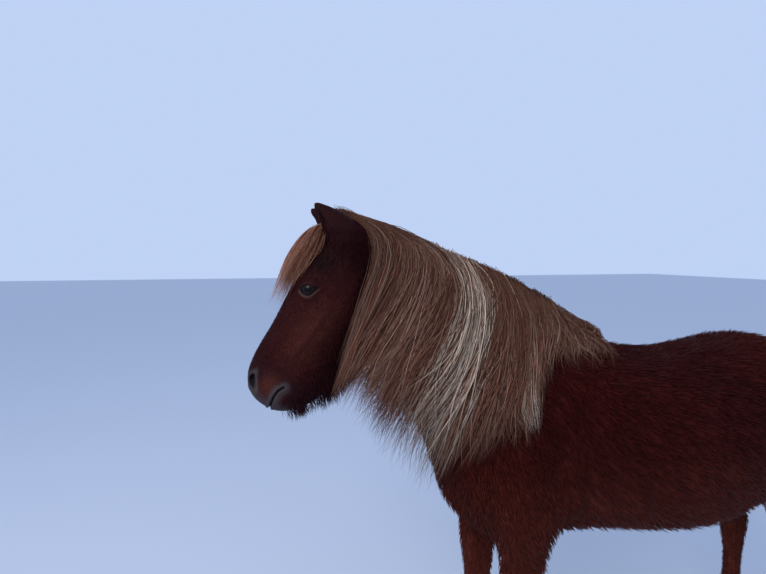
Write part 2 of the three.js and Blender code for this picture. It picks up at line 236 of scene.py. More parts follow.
points = mesh_points(skin_mesh)
depth = coat_depth(points)
hair_drop = jaw_hair(points)
for turn in range(MOVES):
    points = mesh_points(skin_mesh)
    points -= mesh_normals(skin_mesh) * depth[:, None] / MOVES
    points[:, 1] -= hair_drop * math.cos(FACE_LEAN) / MOVES
    points[:, 2] += hair_drop * math.sin(FACE_LEAN) / MOVES
    points[:, 0] *= 1 - 4.0 * hair_drop / MOVES
    set_points(skin_mesh, points)
    smooth(skin_mesh, 5, 0.15 + 0.75 * ease * (1 - on_ear) + 20 * hair_drop)

# Fewer, larger faces behind the head, where the skin is plain
points = mesh_points(skin_mesh)
behind_head = step_up(points[:, 1] - CAD_SHIFT, -0.80, -0.70)
coarse = skin.vertex_groups.new(name="coarse")
for level in (0.25, 0.5, 0.75, 1.0):
    chosen = np.nonzero(np.ceil(behind_head * 4) / 4 == level)[0]
    coarse.add(chosen.tolist(), level, "REPLACE")
thin = skin.modifiers.new("thin", "DECIMATE")
thin.ratio = PLAIN_SKIN_KEPT
thin.vertex_group = "coarse"
thin.vertex_group_factor = 1.0
skin_mesh = with_modifiers_applied(skin)
skin.vertex_groups.clear()
on_head, on_leg = regions(mesh_points(skin_mesh))[:2]
smooth(skin_mesh, 8, 1 - 0.85 * np.maximum(on_head, on_leg))

# Finer skin where the eye, the nostrils and the lips need it
NOSTRIL = (0.485, 0.013)
MOUTH = [(0.533, 0.090), (0.507, 0.083), (0.489, 0.081), (0.471, 0.083), (0.458, 0.091)]
EYE_RADIUS = 0.022
EYE_REACH = 0.046
MUZZLE_FROM = 0.425


def split_skin(wanted):
    fine = bmesh.new()
    fine.from_mesh(skin_mesh)
    fine.verts.ensure_lookup_table()
    centres = np.array([face.calc_center_median() for face in fine.faces])
    chosen = wanted(centres)
    edges = {edge for face, take in zip(fine.faces, chosen) if take for edge in face.edges}
    bmesh.ops.subdivide_edges(fine, edges=list(edges), cuts=1, use_grid_fill=True)
    bmesh.ops.triangulate(fine, faces=[face for face in fine.faces if len(face.verts) > 4])
    fine.to_mesh(skin_mesh)
    fine.free()
    skin_mesh.update()


NOSTRIL_HALF_LENGTH = 0.0215
NOSTRIL_HALF_WIDTH = 0.0095
NOSTRIL_RIM = 0.0030
NOSTRIL_DEPTH = 0.015
NOSTRIL_AXIS = (0.861, 0.508)
NOSTRIL_BEND = 0.0045


def nostril_spread(points):
    along = along_face(points) - NOSTRIL[0]
    behind = behind_face(points) - NOSTRIL[1]
    length = along * NOSTRIL_AXIS[0] + behind * NOSTRIL_AXIS[1]
    width = behind * NOSTRIL_AXIS[0] - along * NOSTRIL_AXIS[1]
    width = width - NOSTRIL_BEND * (length / NOSTRIL_HALF_LENGTH) ** 2
    return np.hypot(length / NOSTRIL_HALF_LENGTH, width / NOSTRIL_HALF_WIDTH)


def mouth_distance(points):
    along = along_face(points)
    behind = behind_face(points)
    nearest = np.full(len(points), 1.0)
    for start, end in zip(MOUTH, MOUTH[1:]):
        step_along = end[0] - start[0]
        step_behind = end[1] - start[1]
        length = step_along ** 2 + step_behind ** 2
        share = ((along - start[0]) * step_along + (behind - start[1]) * step_behind) / length
        share = np.clip(share, 0, 1)
        gap = np.hypot(
            along - start[0] - share * step_along,
            behind - start[1] - share * step_behind,
        )
        nearest = np.minimum(nearest, gap)
    return nearest


def close_to_eye(points):
    mirrored = points.copy()
    mirrored[:, 0] = abs(mirrored[:, 0])
    return np.linalg.norm(mirrored - left_eye, axis=1)


def around_features(points):
    along = along_face(points)
    near_eye = np.hypot(along - EYE_ALONG_FACE, behind_face(points) - EYE_BEHIND_FACE) < EYE_REACH
    near_eye &= abs(points[:, 0]) > 0.045
    return near_eye | (along > MUZZLE_FROM)


def at_fine_edges(points):
    at_nostril = (nostril_spread(points) < 1.7) & (abs(points[:, 0]) > 0.012)
    return (close_to_eye(points) < 0.030) | (mouth_distance(points) < 0.008) | at_nostril


split_skin(around_features)
smooth(skin_mesh, 3, 0.6 * around_features(mesh_points(skin_mesh)))
split_skin(at_fine_edges)


def move_skin(amount, towards=None):
    points = mesh_points(skin_mesh)
    direction = mesh_normals(skin_mesh) if towards is None else towards
    set_points(skin_mesh, points + direction * amount[:, None])


# Forms under the skin of each cheek: place along and behind the face, reach both ways, rise
CHEEK_FORMS = [
    (0.140, 0.010, 0.022, 0.015, -0.0060),
    (0.172, -0.004, 0.018, 0.012, 0.0040),
    (0.125, 0.068, 0.055, 0.018, 0.0040),
    (0.255, 0.082, 0.040, 0.010, 0.0035),
    (0.305, 0.078, 0.040, 0.009, 0.0040),
    (0.350, 0.072, 0.035, 0.008, 0.0030),
    (0.360, 0.030, 0.055, 0.014, -0.0030),
    (0.205, 0.165, 0.070, 0.055, 0.0050),
    (0.335, 0.130, 0.030, 0.040, -0.0045),
    (0.430, 0.055, 0.025, 0.025, -0.0015),
    (0.503, 0.106, 0.022, 0.012, 0.0045),
    (0.512, 0.134, 0.018, 0.016, 0.0035),
    (0.455, 0.075, 0.012, 0.010, 0.0020),
]
points = mesh_points(skin_mesh)
sideways = step_up(abs(mesh_normals(skin_mesh)[:, 0]), 0.15, 0.7) * regions(points)[0]
rise = np.zeros(len(points))
for along, behind, reach_along, reach_behind, height in CHEEK_FORMS:
    spread = np.hypot(
        (along_face(points) - along) / reach_along,
        (behind_face(points) - behind) / reach_behind,
    )
    rise += height * hill(spread, 1.0)
move_skin(rise * sideways)


# The lids close over the ball from above and below and leave an almond-shaped opening
EYE_SLANT = math.radians(7.0)


def eye_axes(side):
    outward = np.array([side * 1.0, -0.30, 0.06])
    outward /= np.linalg.norm(outward)
    rearward = np.array([0.0, math.cos(EYE_SLANT), math.sin(EYE_SLANT)])
    rearward -= outward * rearward.dot(outward)
    rearward /= np.linalg.norm(rearward)
    upward = np.cross(outward, rearward) * side
    return outward, rearward, upward


EYE_HALF_LENGTH = 0.0210
EYE_UPPER_HEIGHT = 0.0090
EYE_LOWER_HEIGHT = 0.0118
EYE_TAPER = 0.34
LID_THICKNESS = 0.0024
LID_CURVE = 1.35
LID_FOLD_SPACING = 0.0052
LID_FOLD_RISE = 0.0011
BROW_RISE = 0.0060
ORBIT_RISE = 0.0045
BEHIND_BALL = 0.0070


def lid_gap(points, side):
    outward, rearward, upward = eye_axes(side)
    offset = points - left_eye * np.array([side, 1, 1])
    across = offset @ rearward
    lift = offset @ upward
    height = np.where(lift > 0, EYE_UPPER_HEIGHT, EYE_LOWER_HEIGHT)
    height = height * (1 - EYE_TAPER * np.clip(across / EYE_HALF_LENGTH, -1, 1))
    spread = abs(across / EYE_HALF_LENGTH) ** LID_CURVE + abs(lift / height) ** LID_CURVE
    spread = spread ** (1 / LID_CURVE)
    distance = np.hypot(across, lift) * (1 - 1 / np.maximum(spread, 0.01))
    far = (offset @ outward < -0.004) | (np.linalg.norm(offset, axis=1) > 0.06)
    return np.where(far, 1.0, distance), offset, lift


for side in (1, -1):
    points = mesh_points(skin_mesh)
    distance, offset, lift = lid_gap(points, side)
    radius = np.maximum(np.linalg.norm(offset, axis=1), 0.001)
    target = EYE_RADIUS + LID_THICKNESS - BEHIND_BALL * (1 - step_up(distance, -0.0012, 0.0004))
    target += 0.0010 * hill(distance - 0.0014, 0.0012)
    target -= 0.0012 * hill(distance - 0.0060, 0.0013) * step_up(lift, 0.0, 0.004)
    share = 1 - step_up(distance, 0.0035, 0.0160)
    new_radius = radius * (1 - share) + target * share
    new_radius += BROW_RISE * hill(distance - 0.0105, 0.0055) * step_up(lift, 0.001, 0.012)
    folds = np.sin(distance / LID_FOLD_SPACING * FULL_TURN) * hill(distance - 0.0140, 0.0060)
    new_radius += LID_FOLD_RISE * folds * step_up(lift, 0.002, 0.010)
    points += offset / radius[:, None] * (new_radius - radius)[:, None]
    orbit = ORBIT_RISE * hill(distance - 0.011, 0.0065) * step_up(distance, 0.001, 0.005)
    points += eye_axes(side)[0] * (orbit * (1 - 0.3 * step_up(lift, 0.0, 0.01)))[:, None]
    set_points(skin_mesh, points)

# The nostril is a comma-shaped opening with a raised soft rim
points = mesh_points(skin_mesh)
spread = nostril_spread(points)
on_side = step_up(abs(points[:, 0]), 0.012, 0.030)
move_skin(NOSTRIL_RIM * hill(spread - 1.35, 0.40) * on_side)
inward = np.zeros((len(points), 3))
inward[:, 0] = -np.sign(points[:, 0])
inward[:, 1] = 0.35
inward[:, 2] = 0.45
move_skin(NOSTRIL_DEPTH * (1 - step_up(spread, 0.45, 1.10)) * on_side, inward)

# The lips meet in a groove between two soft swellings
LIP_RISE = 0.0026
MOUTH_DEPTH = 0.0062
gap = mouth_distance(mesh_points(skin_mesh))
move_skin(LIP_RISE * hill(gap - 0.0070, 0.0038) - MOUTH_DEPTH * hill(gap, 0.0024))

# Colours of the winter coat and of the bare skin, with painted shade under the jaw and on the forehead
# above the eyes. Skin and hair take them from the same formulas of place, so that every marking and
# every painted shade runs through both.
CHESTNUT = np.array([0.034, 0.0034, 0.0026])
FACE_BROWN = np.array([0.024, 0.0033, 0.0038])
FACE_TAN = np.array([0.060, 0.0150, 0.0100])
CHEST_RED = np.array([0.088, 0.0170, 0.0095])
# Dark hair colour, also used as painted shade under the jaw and on the forehead above the eyes
DARK_HAIR_AND_SHADE = np.array([0.013, 0.0026, 0.0030])
MUZZLE_BROWN = np.array([0.018, 0.0045, 0.0060])
BARE_GREY = np.array([0.050, 0.0390, 0.0400])
LID_RIM = np.array([0.085, 0.0480, 0.0380])
# Dark skin colour, also used as painted shade in the nostrils and the mouth and beside the upper lid
DARK_SKIN_AND_SHADE = np.array([0.020, 0.0150, 0.0190])


def waves(points, size, seed):
    draw = np.random.default_rng(seed)
    total = np.zeros(len(points))
    for turn in range(5):
        direction = draw.normal(size=3)
        direction /= np.linalg.norm(direction)
        stretch = draw.uniform(0.6, 1.6) / size
        total += np.sin(points @ direction * stretch * FULL_TURN + draw.uniform(0, FULL_TURN))
    return total / 5


def blend(colour, other, share):
    return colour + (other - colour) * np.asarray(share)[:, None]


def coat_colour(points):
    along = along_face(points)
    behind = behind_face(points)
    head = regions(points)[0]
    y = points[:, 1] - CAD_SHIFT
    z = points[:, 2]
    colour = np.tile(CHESTNUT, (len(points), 1))
    colour = blend(colour, FACE_BROWN, head)
    low = (1 - step_up(z, 0.72, 1.14)) * 0.80
    colour = blend(colour, CHEST_RED, np.maximum(low, 0.5 * step_up(y, 0.35, 0.85)))
    tan = 0.75 * hill(np.hypot((along - 0.30) / 0.11, (behind - 0.075) / 0.050), 1.0)
    tan = np.maximum(tan, 0.9 * hill(np.hypot((along - 0.468) / 0.035, (behind - 0.055) / 0.024), 1.0))
    # Painted shade darkens the underside of the jaw and the throat
    colour = blend(colour, DARK_HAIR_AND_SHADE, head * step_up(behind, 0.12, 0.20) * 0.8)
    # The forehead is darkened partly for its dark hair and partly as painted shade from the forelock,
    # darkest as a painted shadow just above the eye
    forehead_dark_hair_and_shade = 0.75 * (1 - step_up(along, 0.06, 0.17))
    forehead_dark_hair_and_shade += 0.55 * (1 - step_up(behind, -0.03, 0.03))
    shadow_and_dark_hair_over_eye = 0.97 * hill(np.hypot((along - 0.128) / 0.034, (behind - 0.016) / 0.030), 1.0)
    colour = blend(colour, DARK_HAIR_AND_SHADE, head * np.clip(forehead_dark_hair_and_shade, 0, 0.85))
    colour = blend(colour, DARK_HAIR_AND_SHADE * 0.5, head * shadow_and_dark_hair_over_eye)
    colour = blend(colour, DARK_HAIR_AND_SHADE, (1 - step_up(z, 0.14, 0.42)) * 0.5)
    colour = blend(colour, MUZZLE_BROWN, head * step_up(along, 0.38, 0.46) * 0.75)
    colour = blend(colour, FACE_TAN, head * tan)
    colour = blend(colour, BARE_GREY, bare_skin(points) * 0.80)
    rim = head * hill(lid_distance(points) - 0.0074, 0.0018)
    colour = blend(colour, LID_RIM, rim * (0.10 + 0.60 * below_lids(points)))
    return colour * (1 + 0.16 * waves(points, 0.22, 5) + 0.10 * waves(points, 0.05, 6))[:, None]


def lid_distance(points):
    return np.minimum(lid_gap(points, 1)[0], lid_gap(points, -1)[0])


def below_lids(points):
    return 1 - step_up(points[:, 2] - left_eye[2], -0.006, 0.004)


def bare_skin(points):
    head = regions(points)[0]
    lip = hill(np.maximum(mouth_distance(points) - 0.008, 0), 0.009)
    lip *= step_up(along_face(points), 0.43, 0.45)
    nose = 1 - step_up(nostril_spread(points), 1.25, 2.0)
    nose = nose * step_up(abs(points[:, 0]), 0.008, 0.02)
    nose_tip = step_up(along_face(points), 0.487, 0.515) * 0.8
    eye = 0.60 * (1 - step_up(lid_distance(points), 0.0035, 0.0070))
    return head * np.maximum(np.maximum(lip, nose), np.maximum(eye, nose_tip))


# Where painted shade darkens the inside of the nostrils and the groove between the lips
def painted_shade_in_holes(points):
    nose = (1 - step_up(nostril_spread(points), 0.55, 1.0)) * step_up(abs(points[:, 0]), 0.008, 0.02)
    mouth = hill(mouth_distance(points), 0.0026)
    return regions(points)[0] * np.maximum(nose, mouth)


def store_colour(mesh, name, colour):
    layer = mesh.color_attributes.new(name=name, type="FLOAT_COLOR", domain="POINT")
    full = np.ones((len(mesh.vertices), 4))
    full[:, :3] = colour
    layer.data.foreach_set("color", full.ravel())


def shade_smooth(mesh):
    mesh.polygons.foreach_set("use_smooth", np.ones(len(mesh.polygons), dtype=bool))


def store_number(mesh, name, values):
    layer = mesh.attributes.new(name=name, type="FLOAT", domain="POINT")
    layer.data.foreach_set("value", np.asarray(values, float))


class Socket:
    def __init__(self, tree, output):
        self.tree = tree
        self.output = output

    def node(self, kind, settings=None, **inputs):
        made = self.tree.nodes.new(kind)
        for name, value in (settings or {}).items():
            setattr(made, name, value)
        for name, value in inputs.items():
            place = int(name[1:]) if name[0] == "i" and name[1:].isdigit() else name.replace("_", " ")
            if isinstance(value, Socket):
                self.tree.links.new(value.output, made.inputs[place])
            else:
                made.inputs[place].default_value = value
        return made

    def maths(self, operation, first, second):
        made = self.node("ShaderNodeMath", {"operation": operation}, i0=first, i1=second)
        return Socket(self.tree, made.outputs[0])

    def __add__(self, other):
        return self.maths("ADD", self, other)

    def __radd__(self, other):
        return self.maths("ADD", other, self)

    def __sub__(self, other):
        return self.maths("SUBTRACT", self, other)

    def __rsub__(self, other):
        return self.maths("SUBTRACT", other, self)

    def __mul__(self, other):
        return self.maths("MULTIPLY", self, other)

    def __rmul__(self, other):
        return self.maths("MULTIPLY", other, self)

    def ramp(self, start, end):
        settings = {"interpolation_type": "SMOOTHSTEP"}
        made = self.node("ShaderNodeMapRange", settings, i0=self, i1=start, i2=end)
        return Socket(self.tree, made.outputs[0])

    def mixed(self, colour, other):
        made = self.node("ShaderNodeMix", {"data_type": "RGBA"}, i0=self, i6=colour, i7=other)
        return Socket(self.tree, made.outputs[2])

    def toned(self, shade):
        settings = {"data_type": "RGBA", "blend_type": "MULTIPLY"}
        made = self.node("ShaderNodeMix", settings, i0=1.0, i6=self, i7=shade)
        return Socket(self.tree, made.outputs[2])

    def bump(self, strength, distance):
        made = self.node("ShaderNodeBump", Strength=strength, Distance=distance, Height=self)
        return Socket(self.tree, made.outputs[0])


def new_material(name, roughness):
    material = bpy.data.materials.new(name)
    material.use_nodes = True
    tree = material.node_tree
    shader = tree.nodes["Principled BSDF"]
    shader.inputs["Roughness"].default_value = roughness
    place = tree.nodes.new("ShaderNodeTexCoord")
    return material, tree, shader, Socket(tree, place.outputs["Object"])


def attribute(tree, name, output):
    made = tree.nodes.new("ShaderNodeAttribute")
    made.attribute_name = name
    return Socket(tree, made.outputs[output])


def noise(place, scale, detail=3.0):
    made = place.node("ShaderNodeTexNoise", Vector=place, Scale=scale, Detail=detail)
    return Socket(place.tree, made.outputs[0])


def stretched(place, scale, turn=0.0):
    made = place.node("ShaderNodeMapping", Vector=place, Rotation=(turn, 0, 0), Scale=scale)
    return Socket(place.tree, made.outputs[0])


skin_material, tree, shader, place = new_material("short_hair_on_skin", 0.62)
painted = attribute(tree, "coat_colour", "Color")
bare = attribute(tree, "bare", "Fac")
on_face = attribute(tree, "face", "Fac")
face_hair = noise(stretched(place, (520.0, 520.0, 75.0), -FACE_LEAN), 1.0, 2.0)
body_hair = noise(stretched(place, (260.0, 110.0, 60.0), 0.35), 1.0, 3.0)
hair = face_hair * on_face + body_hair * (1.0 - on_face)
wrinkle = noise(place, 230.0, 4.0)
relief = hair * (1.0 - bare) + wrinkle * bare * 0.55
shade = (hair * 1.3 + 0.35) * (1.0 - bare) + (wrinkle * 0.6 + 0.7) * bare
tree.links.new(painted.toned(shade).output, shader.inputs["Base Color"])
tree.links.new(relief.bump(0.8, 0.0016).output, shader.inputs["Normal"])
tree.links.new((0.66 - bare * 0.2).output, shader.inputs["Roughness"])

points = mesh_points(skin_mesh)
# Painted shade darkens the nostrils and the groove of the mouth
colour = blend(coat_colour(points), DARK_SKIN_AND_SHADE * 0.3, painted_shade_in_holes(points))
# The lid edges are dark skin; the dark band is widened above the eye as painted shade under the upper
# lid
lid_edge_dark_and_shade = 1 - step_up(lid_distance(points) - 0.0016 * (1 - below_lids(points)), 0.0030, 0.0056)
colour = blend(colour, DARK_SKIN_AND_SHADE * 0.35, lid_edge_dark_and_shade * 0.97)
store_colour(skin_mesh, "coat_colour", colour)
store_number(skin_mesh, "bare", bare_skin(points))
store_number(skin_mesh, "face", regions(points)[0])
skin_mesh.materials.clear()
skin_mesh.materials.append(skin_material)
shade_smooth(skin_mesh)
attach(skin, "root")
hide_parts(*FLESH)


# Each eye is a dark brown ball with a rounder clear front and a wide flat pupil, a little paler
# at the corners. It sits behind the lids and is wetter than anything around it.
EYE_ROUNDS = 72
EYE_RINGS = 48
CORNEA_RISE = 0.0007
PUPIL = (0.0022, 0.0022, 0.004, 1.0)
IRIS_DARK = (0.005, 0.0025, 0.002, 1.0)
IRIS_LIGHT = (0.013, 0.006, 0.0035, 1.0)
IRIS_EDGE = (0.005, 0.003, 0.003, 1.0)
EYE_CORNER = (0.034, 0.023, 0.024, 1.0)
eye_material, tree, shader, place = new_material("eye", 0.10)
across = attribute(tree, "across", "Fac")
lift = attribute(tree, "lift", "Fac")
iris_reach = across * across * 0.85 + lift * lift
pupil_reach = across * across * 5.0 + lift * lift * 13.0
streaks = noise(stretched(place, (900.0, 900.0, 900.0)), 1.0, 2.0)
brown = streaks.ramp(0.35, 0.7).mixed(IRIS_DARK, IRIS_LIGHT)
brown = iris_reach.ramp(0.30, 0.42).mixed(brown, IRIS_EDGE)
brown = iris_reach.ramp(0.66, 0.84).mixed(brown, EYE_CORNER)
whole = pupil_reach.ramp(0.80, 1.15).mixed(PUPIL, brown)
tree.links.new(whole.output, shader.inputs["Base Color"])
shader.inputs["Coat Weight"].default_value = 0.13
shader.inputs["Specular IOR Level"].default_value = 0.03
shader.inputs["Coat Roughness"].default_value = 0.02


def faces_between(rings, rounds):
    faces = []
    for first in range(0, (rings - 1) * rounds, rounds):
        for step in range(rounds):
            after = (step + 1) % rounds
            faces.append((first + step, first + after, first + rounds + after, first + rounds + step))
    return faces


def turn_faces_outwards(mesh, merge_within=0.0):
    shape = bmesh.new()
    shape.from_mesh(mesh)
    if merge_within > 0:
        bmesh.ops.remove_doubles(shape, verts=shape.verts, dist=merge_within)
    bmesh.ops.recalc_face_normals(shape, faces=shape.faces)
    shape.to_mesh(mesh)
    shape.free()
    shade_smooth(mesh)


for side, eye_node in ((1, "eye_left"), (-1, "eye_right")):
    outward, rearward, upward = eye_axes(side)
    middle = left_eye * np.array([side, 1, 1])
    ring_turn = np.linspace(0, math.pi, EYE_RINGS + 1)[1:-1]
    round_turn = np.linspace(0, 2 * math.pi, EYE_ROUNDS, endpoint=False)
    lean, turn = np.meshgrid(ring_turn, round_turn, indexing="ij")
    lean = lean.ravel()
    turn = turn.ravel()
    radius = EYE_RADIUS + CORNEA_RISE * (1 - step_up(lean, 0.45, 0.95))
    local = np.stack([np.cos(lean), np.sin(lean) * np.cos(turn), np.sin(lean) * np.sin(turn)], 1)
    poles = [[EYE_RADIUS + CORNEA_RISE, 0, 0], [-EYE_RADIUS, 0, 0]]
    local = np.vstack([local * radius[:, None], poles])
    ball_points = middle + local @ np.stack([outward, rearward, upward])
    faces = faces_between(EYE_RINGS - 1, EYE_ROUNDS)
    last = len(ball_points) - 1
    bottom = (EYE_RINGS - 2) * EYE_ROUNDS
    for step in range(EYE_ROUNDS):
        after = (step + 1) % EYE_ROUNDS
        faces.append((last - 1, after, step))
        faces.append((last, bottom + step, bottom + after))
    ball = object_from(eye_node + "_ball", ball_points, faces)
    turn_faces_outwards(ball.data)
    store_number(ball.data, "across", local[:, 1] / EYE_RADIUS)
    store_number(ball.data, "lift", local[:, 2] / EYE_RADIUS)
    ball.data.materials.append(eye_material)
    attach(ball, "root")
    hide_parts(eye_node)


# Each hoof is a capsule of dark horn with fine growth rings and a slightly hollow sole.
# Its wall goes on a little way up under the skin.
HOOF_NODES = ("fore_hoof_left", "fore_hoof_right", "hind_hoof_left", "hind_hoof_right")
HOOF_ROUNDS = 72
HOOF_RINGS = 44
RING_SPACING = 0.0065
RING_RISE = 0.00045
CORONET_HEIGHT = 0.0690
CORONET_TILT = math.tan(math.radians(14))
HOOF_HALF_LENGTH = 0.052
FAR_OUTSIDE = 0.2
SOLE_BELOW = 0.002
CROWN_ABOVE = 0.050
HORN_DARK = (0.016, 0.013, 0.012, 1.0)
HORN_LIGHT = (0.070, 0.055, 0.044, 1.0)
HORN_DUST = (0.16, 0.135, 0.11, 1.0)
hoof_material, tree, shader, place = new_material("horn", 0.48)
height = Socket(tree, place.node("ShaderNodeSeparateXYZ", Vector=place).outputs[2])
grain = noise(stretched(place, (420.0, 420.0, 26.0)), 1.0, 3.0)
bands = noise(stretched(place, (8.0, 8.0, 210.0)), 1.0, 2.0)
horn_shade = (grain * 0.55 + bands * 0.45).ramp(0.3, 0.72)
horn = horn_shade.mixed(HORN_DARK, HORN_LIGHT)
dusty = height.ramp(0.028, 0.0)
horn = (dusty * 0.45).mixed(horn, HORN_DUST)
tree.links.new(horn.output, shader.inputs["Base Color"])
tree.links.new((grain * 0.5 + bands * 0.8).bump(0.5, 0.0006).output, shader.inputs["Normal"])
for hoof_node in HOOF_NODES:
    solid = bmesh.new()
    solid.from_mesh(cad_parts[hoof_node].data)
    surface = BVHTree.FromBMesh(solid)
    corners = np.array([vert.co for vert in solid.verts])
    solid.free()
    low = corners[corners[:, 2] < SOLE_BELOW].mean(axis=0)
    crown = corners[corners[:, 2] > CROWN_ABOVE]
    high = (crown.max(axis=0) + crown.min(axis=0)) / 2
    turns = np.linspace(0, 2 * math.pi, HOOF_ROUNDS, endpoint=False)
    levels = np.linspace(0.02, 0.97, HOOF_RINGS)
    reach = np.zeros((HOOF_RINGS, HOOF_ROUNDS))
    heights = np.zeros((HOOF_RINGS, HOOF_ROUNDS))
    centres = low[None, :2] + (high - low)[None, :2] * levels[:, None]
    for ring, level in enumerate(levels):
        for step, turn in enumerate(turns):
            edge_height = CORONET_HEIGHT - math.sin(turn) * HOOF_HALF_LENGTH * CORONET_TILT
            heights[ring, step] = edge_height * level
            way = Vector((math.cos(turn), math.sin(turn), 0))
            start = Vector((centres[ring, 0], centres[ring, 1], heights[ring, step])) + way * FAR_OUTSIDE
            hit = surface.ray_cast(start, -way)
            reach[ring, step] = FAR_OUTSIDE - hit[3] if hit[0] else np.nan
    reach = np.where(np.isnan(reach), np.nanmean(reach), reach)
    for turn in range(3):
        reach = (np.roll(reach, 1, 1) + 2 * reach + np.roll(reach, -1, 1)) / 4
        reach[1:-1] = (reach[:-2] + 2 * reach[1:-1] + reach[2:]) / 4
    ridge = np.sin(heights / RING_SPACING * FULL_TURN + 0.6 * np.sin(heights * 300)) * RING_RISE
    reach = reach + ridge
    rings = []
    for share, rise in ((0.0, 0.0045), (0.55, 0.0040), (0.88, 0.0012), (0.95, 0.0)):
        rings.append((share * reach[0], np.full(HOOF_ROUNDS, rise), centres[0]))
    for ring in range(HOOF_RINGS):
        rings.append((reach[ring], heights[ring] * (ring > 0) + 0.0006 * (ring == 0), centres[ring]))
    for share, rise in ((0.96, 0.003), (0.88, 0.009), (0.74, 0.015), (0.0, 0.016)):
        rings.append((share * reach[-1], heights[-1] + rise, centres[-1]))
    hoof_points = []
    for size, rise, centre in rings:
        hoof_points.append(np.stack([
            centre[0] + size * np.cos(turns),
            centre[1] + size * np.sin(turns),
            rise,
        ], 1))
    faces = faces_between(len(rings), HOOF_ROUNDS)
    hoof = object_from(hoof_node + "_horn", np.vstack(hoof_points), faces)
    turn_faces_outwards(hoof.data, merge_within=0.00005)
    hoof.data.materials.append(hoof_material)
    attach(hoof, "root")
    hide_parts(hoof_node)


# The short winter coat stands on the skin in thin pointed tufts that overlap along the body.
# They are shortest on the face and the ears, and longest under the belly.
PATCH = 0.003
HAIR_DEPTH = 0.6
BODY_TUFT = 0.036
LEG_TUFT = 0.017
FACE_TUFT = 0.0085
EAR_TUFT = 0.009
SHOULDER_END = -0.24
BARREL_END = 0.40
BODY_FROM = 0.66
SHOULDER_FROM = 0.70
skin_tree = BVHTree.FromPolygons(
    mesh_points(skin_mesh).tolist(),
    [tuple(polygon.vertices) for polygon in skin_mesh.polygons],
)


def unit(vectors):
    return vectors / np.maximum(np.linalg.norm(vectors, axis=-1, keepdims=True), 1e-9)


def hair_piece(name, paths, half_width, flat_way, colours, patch_centre, material):
    count, steps = paths.shape[:2]
    along = unit(np.gradient(paths, axis=1))
    flat_way = unit(flat_way - along * (flat_way * along).sum(axis=2, keepdims=True))
    rise = np.cross(along, flat_way)
    width = half_width[:, :-1, None]
    body = paths[:, :-1]
    corners = np.stack([
        body + flat_way[:, :-1] * width,
        body + rise[:, :-1] * width * HAIR_DEPTH,
        body - flat_way[:, :-1] * width,
    ], axis=2)
    per_hair = 3 * (steps - 1) + 1
    points = np.concatenate([corners.reshape(count, -1, 3), paths[:, -1:]], axis=1)
    loops = [2, 1, 0]
    starts = [0]
    shifts = [(1.0, 0.0), (0.5, -0.15), (0.0, 0.0)]
    across = (0.0, 0.5, 1.0)
    for step in range(steps - 2):
        for corner in range(3):
            after = (corner + 1) % 3
            starts.append(len(loops))
            for level, place in ((step, corner), (step, after), (step + 1, after), (step + 1, corner)):
                loops.append(3 * level + place)
                shifts.append((across[place], level / (steps - 1)))
    for corner in range(3):
        after = (corner + 1) % 3
        starts.append(len(loops))
        for place in (corner, after):
            loops.append(3 * (steps - 2) + place)
            shifts.append((across[place], (steps - 2) / (steps - 1)))
        loops.append(per_hair - 1)
        shifts.append((0.5, 1.0))
    loops = np.array(loops)
    starts = np.array(starts)
    hair_number = np.arange(count)[:, None]
    mesh = bpy.data.meshes.new(name)
    mesh.vertices.add(count * per_hair)
    mesh.loops.add(count * len(loops))
    mesh.polygons.add(count * len(starts))
    mesh.vertices.foreach_set("co", points.ravel())
    mesh.loops.foreach_set("vertex_index", (loops + hair_number * per_hair).ravel())
    mesh.polygons.foreach_set("loop_start", (starts + hair_number * len(loops)).ravel())
    mesh.update(calc_edges=True)
    shade_smooth(mesh)
    # Each hair has a small patch of the map to itself, at the place of its root
    patches = mesh.uv_layers.new(name="OFBake")
    corners_of_patch = (np.array(shifts) - 0.5) * PATCH
    patches.data.foreach_set("uv", (patch_centre[:, None] + corners_of_patch[None]).ravel())
    hair_colour = np.concatenate([np.repeat(colours[:, :-1], 3, axis=1), colours[:, -1:]], axis=1)
    store_colour(mesh, "coat_colour", hair_colour.reshape(-1, 3))
    mesh.materials.append(material)
    piece = bpy.data.objects.new(name, mesh)
    bpy.context.scene.collection.objects.link(piece)
    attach(piece, "root")
    return piece


# The coat lies down and back on the neck, back along the barrel, and down on rump, legs and nose
def lie_of_coat(points):
    head, leg, ear = regions(points)
    y = points[:, 1] - CAD_SHIFT
    behind = behind_face(points)
    along = along_face(points)
    down_nose = np.array([0, -math.sin(FACE_LEAN), -math.cos(FACE_LEAN)])
    cheek = down_nose * 0.6 + np.array([0, math.cos(FACE_LEAN), -math.sin(FACE_LEAN)]) * 0.8
    way = np.tile([0.0, 0.42, -0.90], (len(points), 1))
    way = blend(way, np.array([0, 0.86, -0.50]), step_up(y, -0.30, 0.05))
    way = blend(way, np.array([0, 0.35, -0.93]), step_up(y, 0.35, 0.62))
    way = blend(way, np.array([0, 0.06, -1.0]), leg)
    face = blend(np.tile(down_nose, (len(points), 1)), cheek, step_up(behind, 0.04, 0.15))
    face = blend(face, np.array([0, 0.9, -0.45]), 1 - step_up(along, -0.02, 0.05))
    way = way * (1 - head)[:, None] + face * head[:, None]
    return blend(way, np.array([0, -0.48, 0.88]), ear)


def tuft_length(points, normals):
    head, leg, ear = regions(points)
    behind = behind_face(points)
    along = along_face(points)
    z = points[:, 2]
    under = step_up(-normals[:, 2], 0.3, 0.9)
    body = BODY_TUFT + 0.020 * under
    leg_length = LEG_TUFT + 0.006 * step_up(z, 0.3, 0.55)
    face = FACE_TUFT + 0.011 * step_up(behind, 0.07, 0.16) + 0.006 * (1 - step_up(along, 0.03, 0.16))
    face -= 0.004 * step_up(along, 0.40, 0.47)
    length = body * (1 - leg) + leg_length * leg
    length = length * (1 - head) + face * head
    return length * (1 - ear) + EAR_TUFT * ear


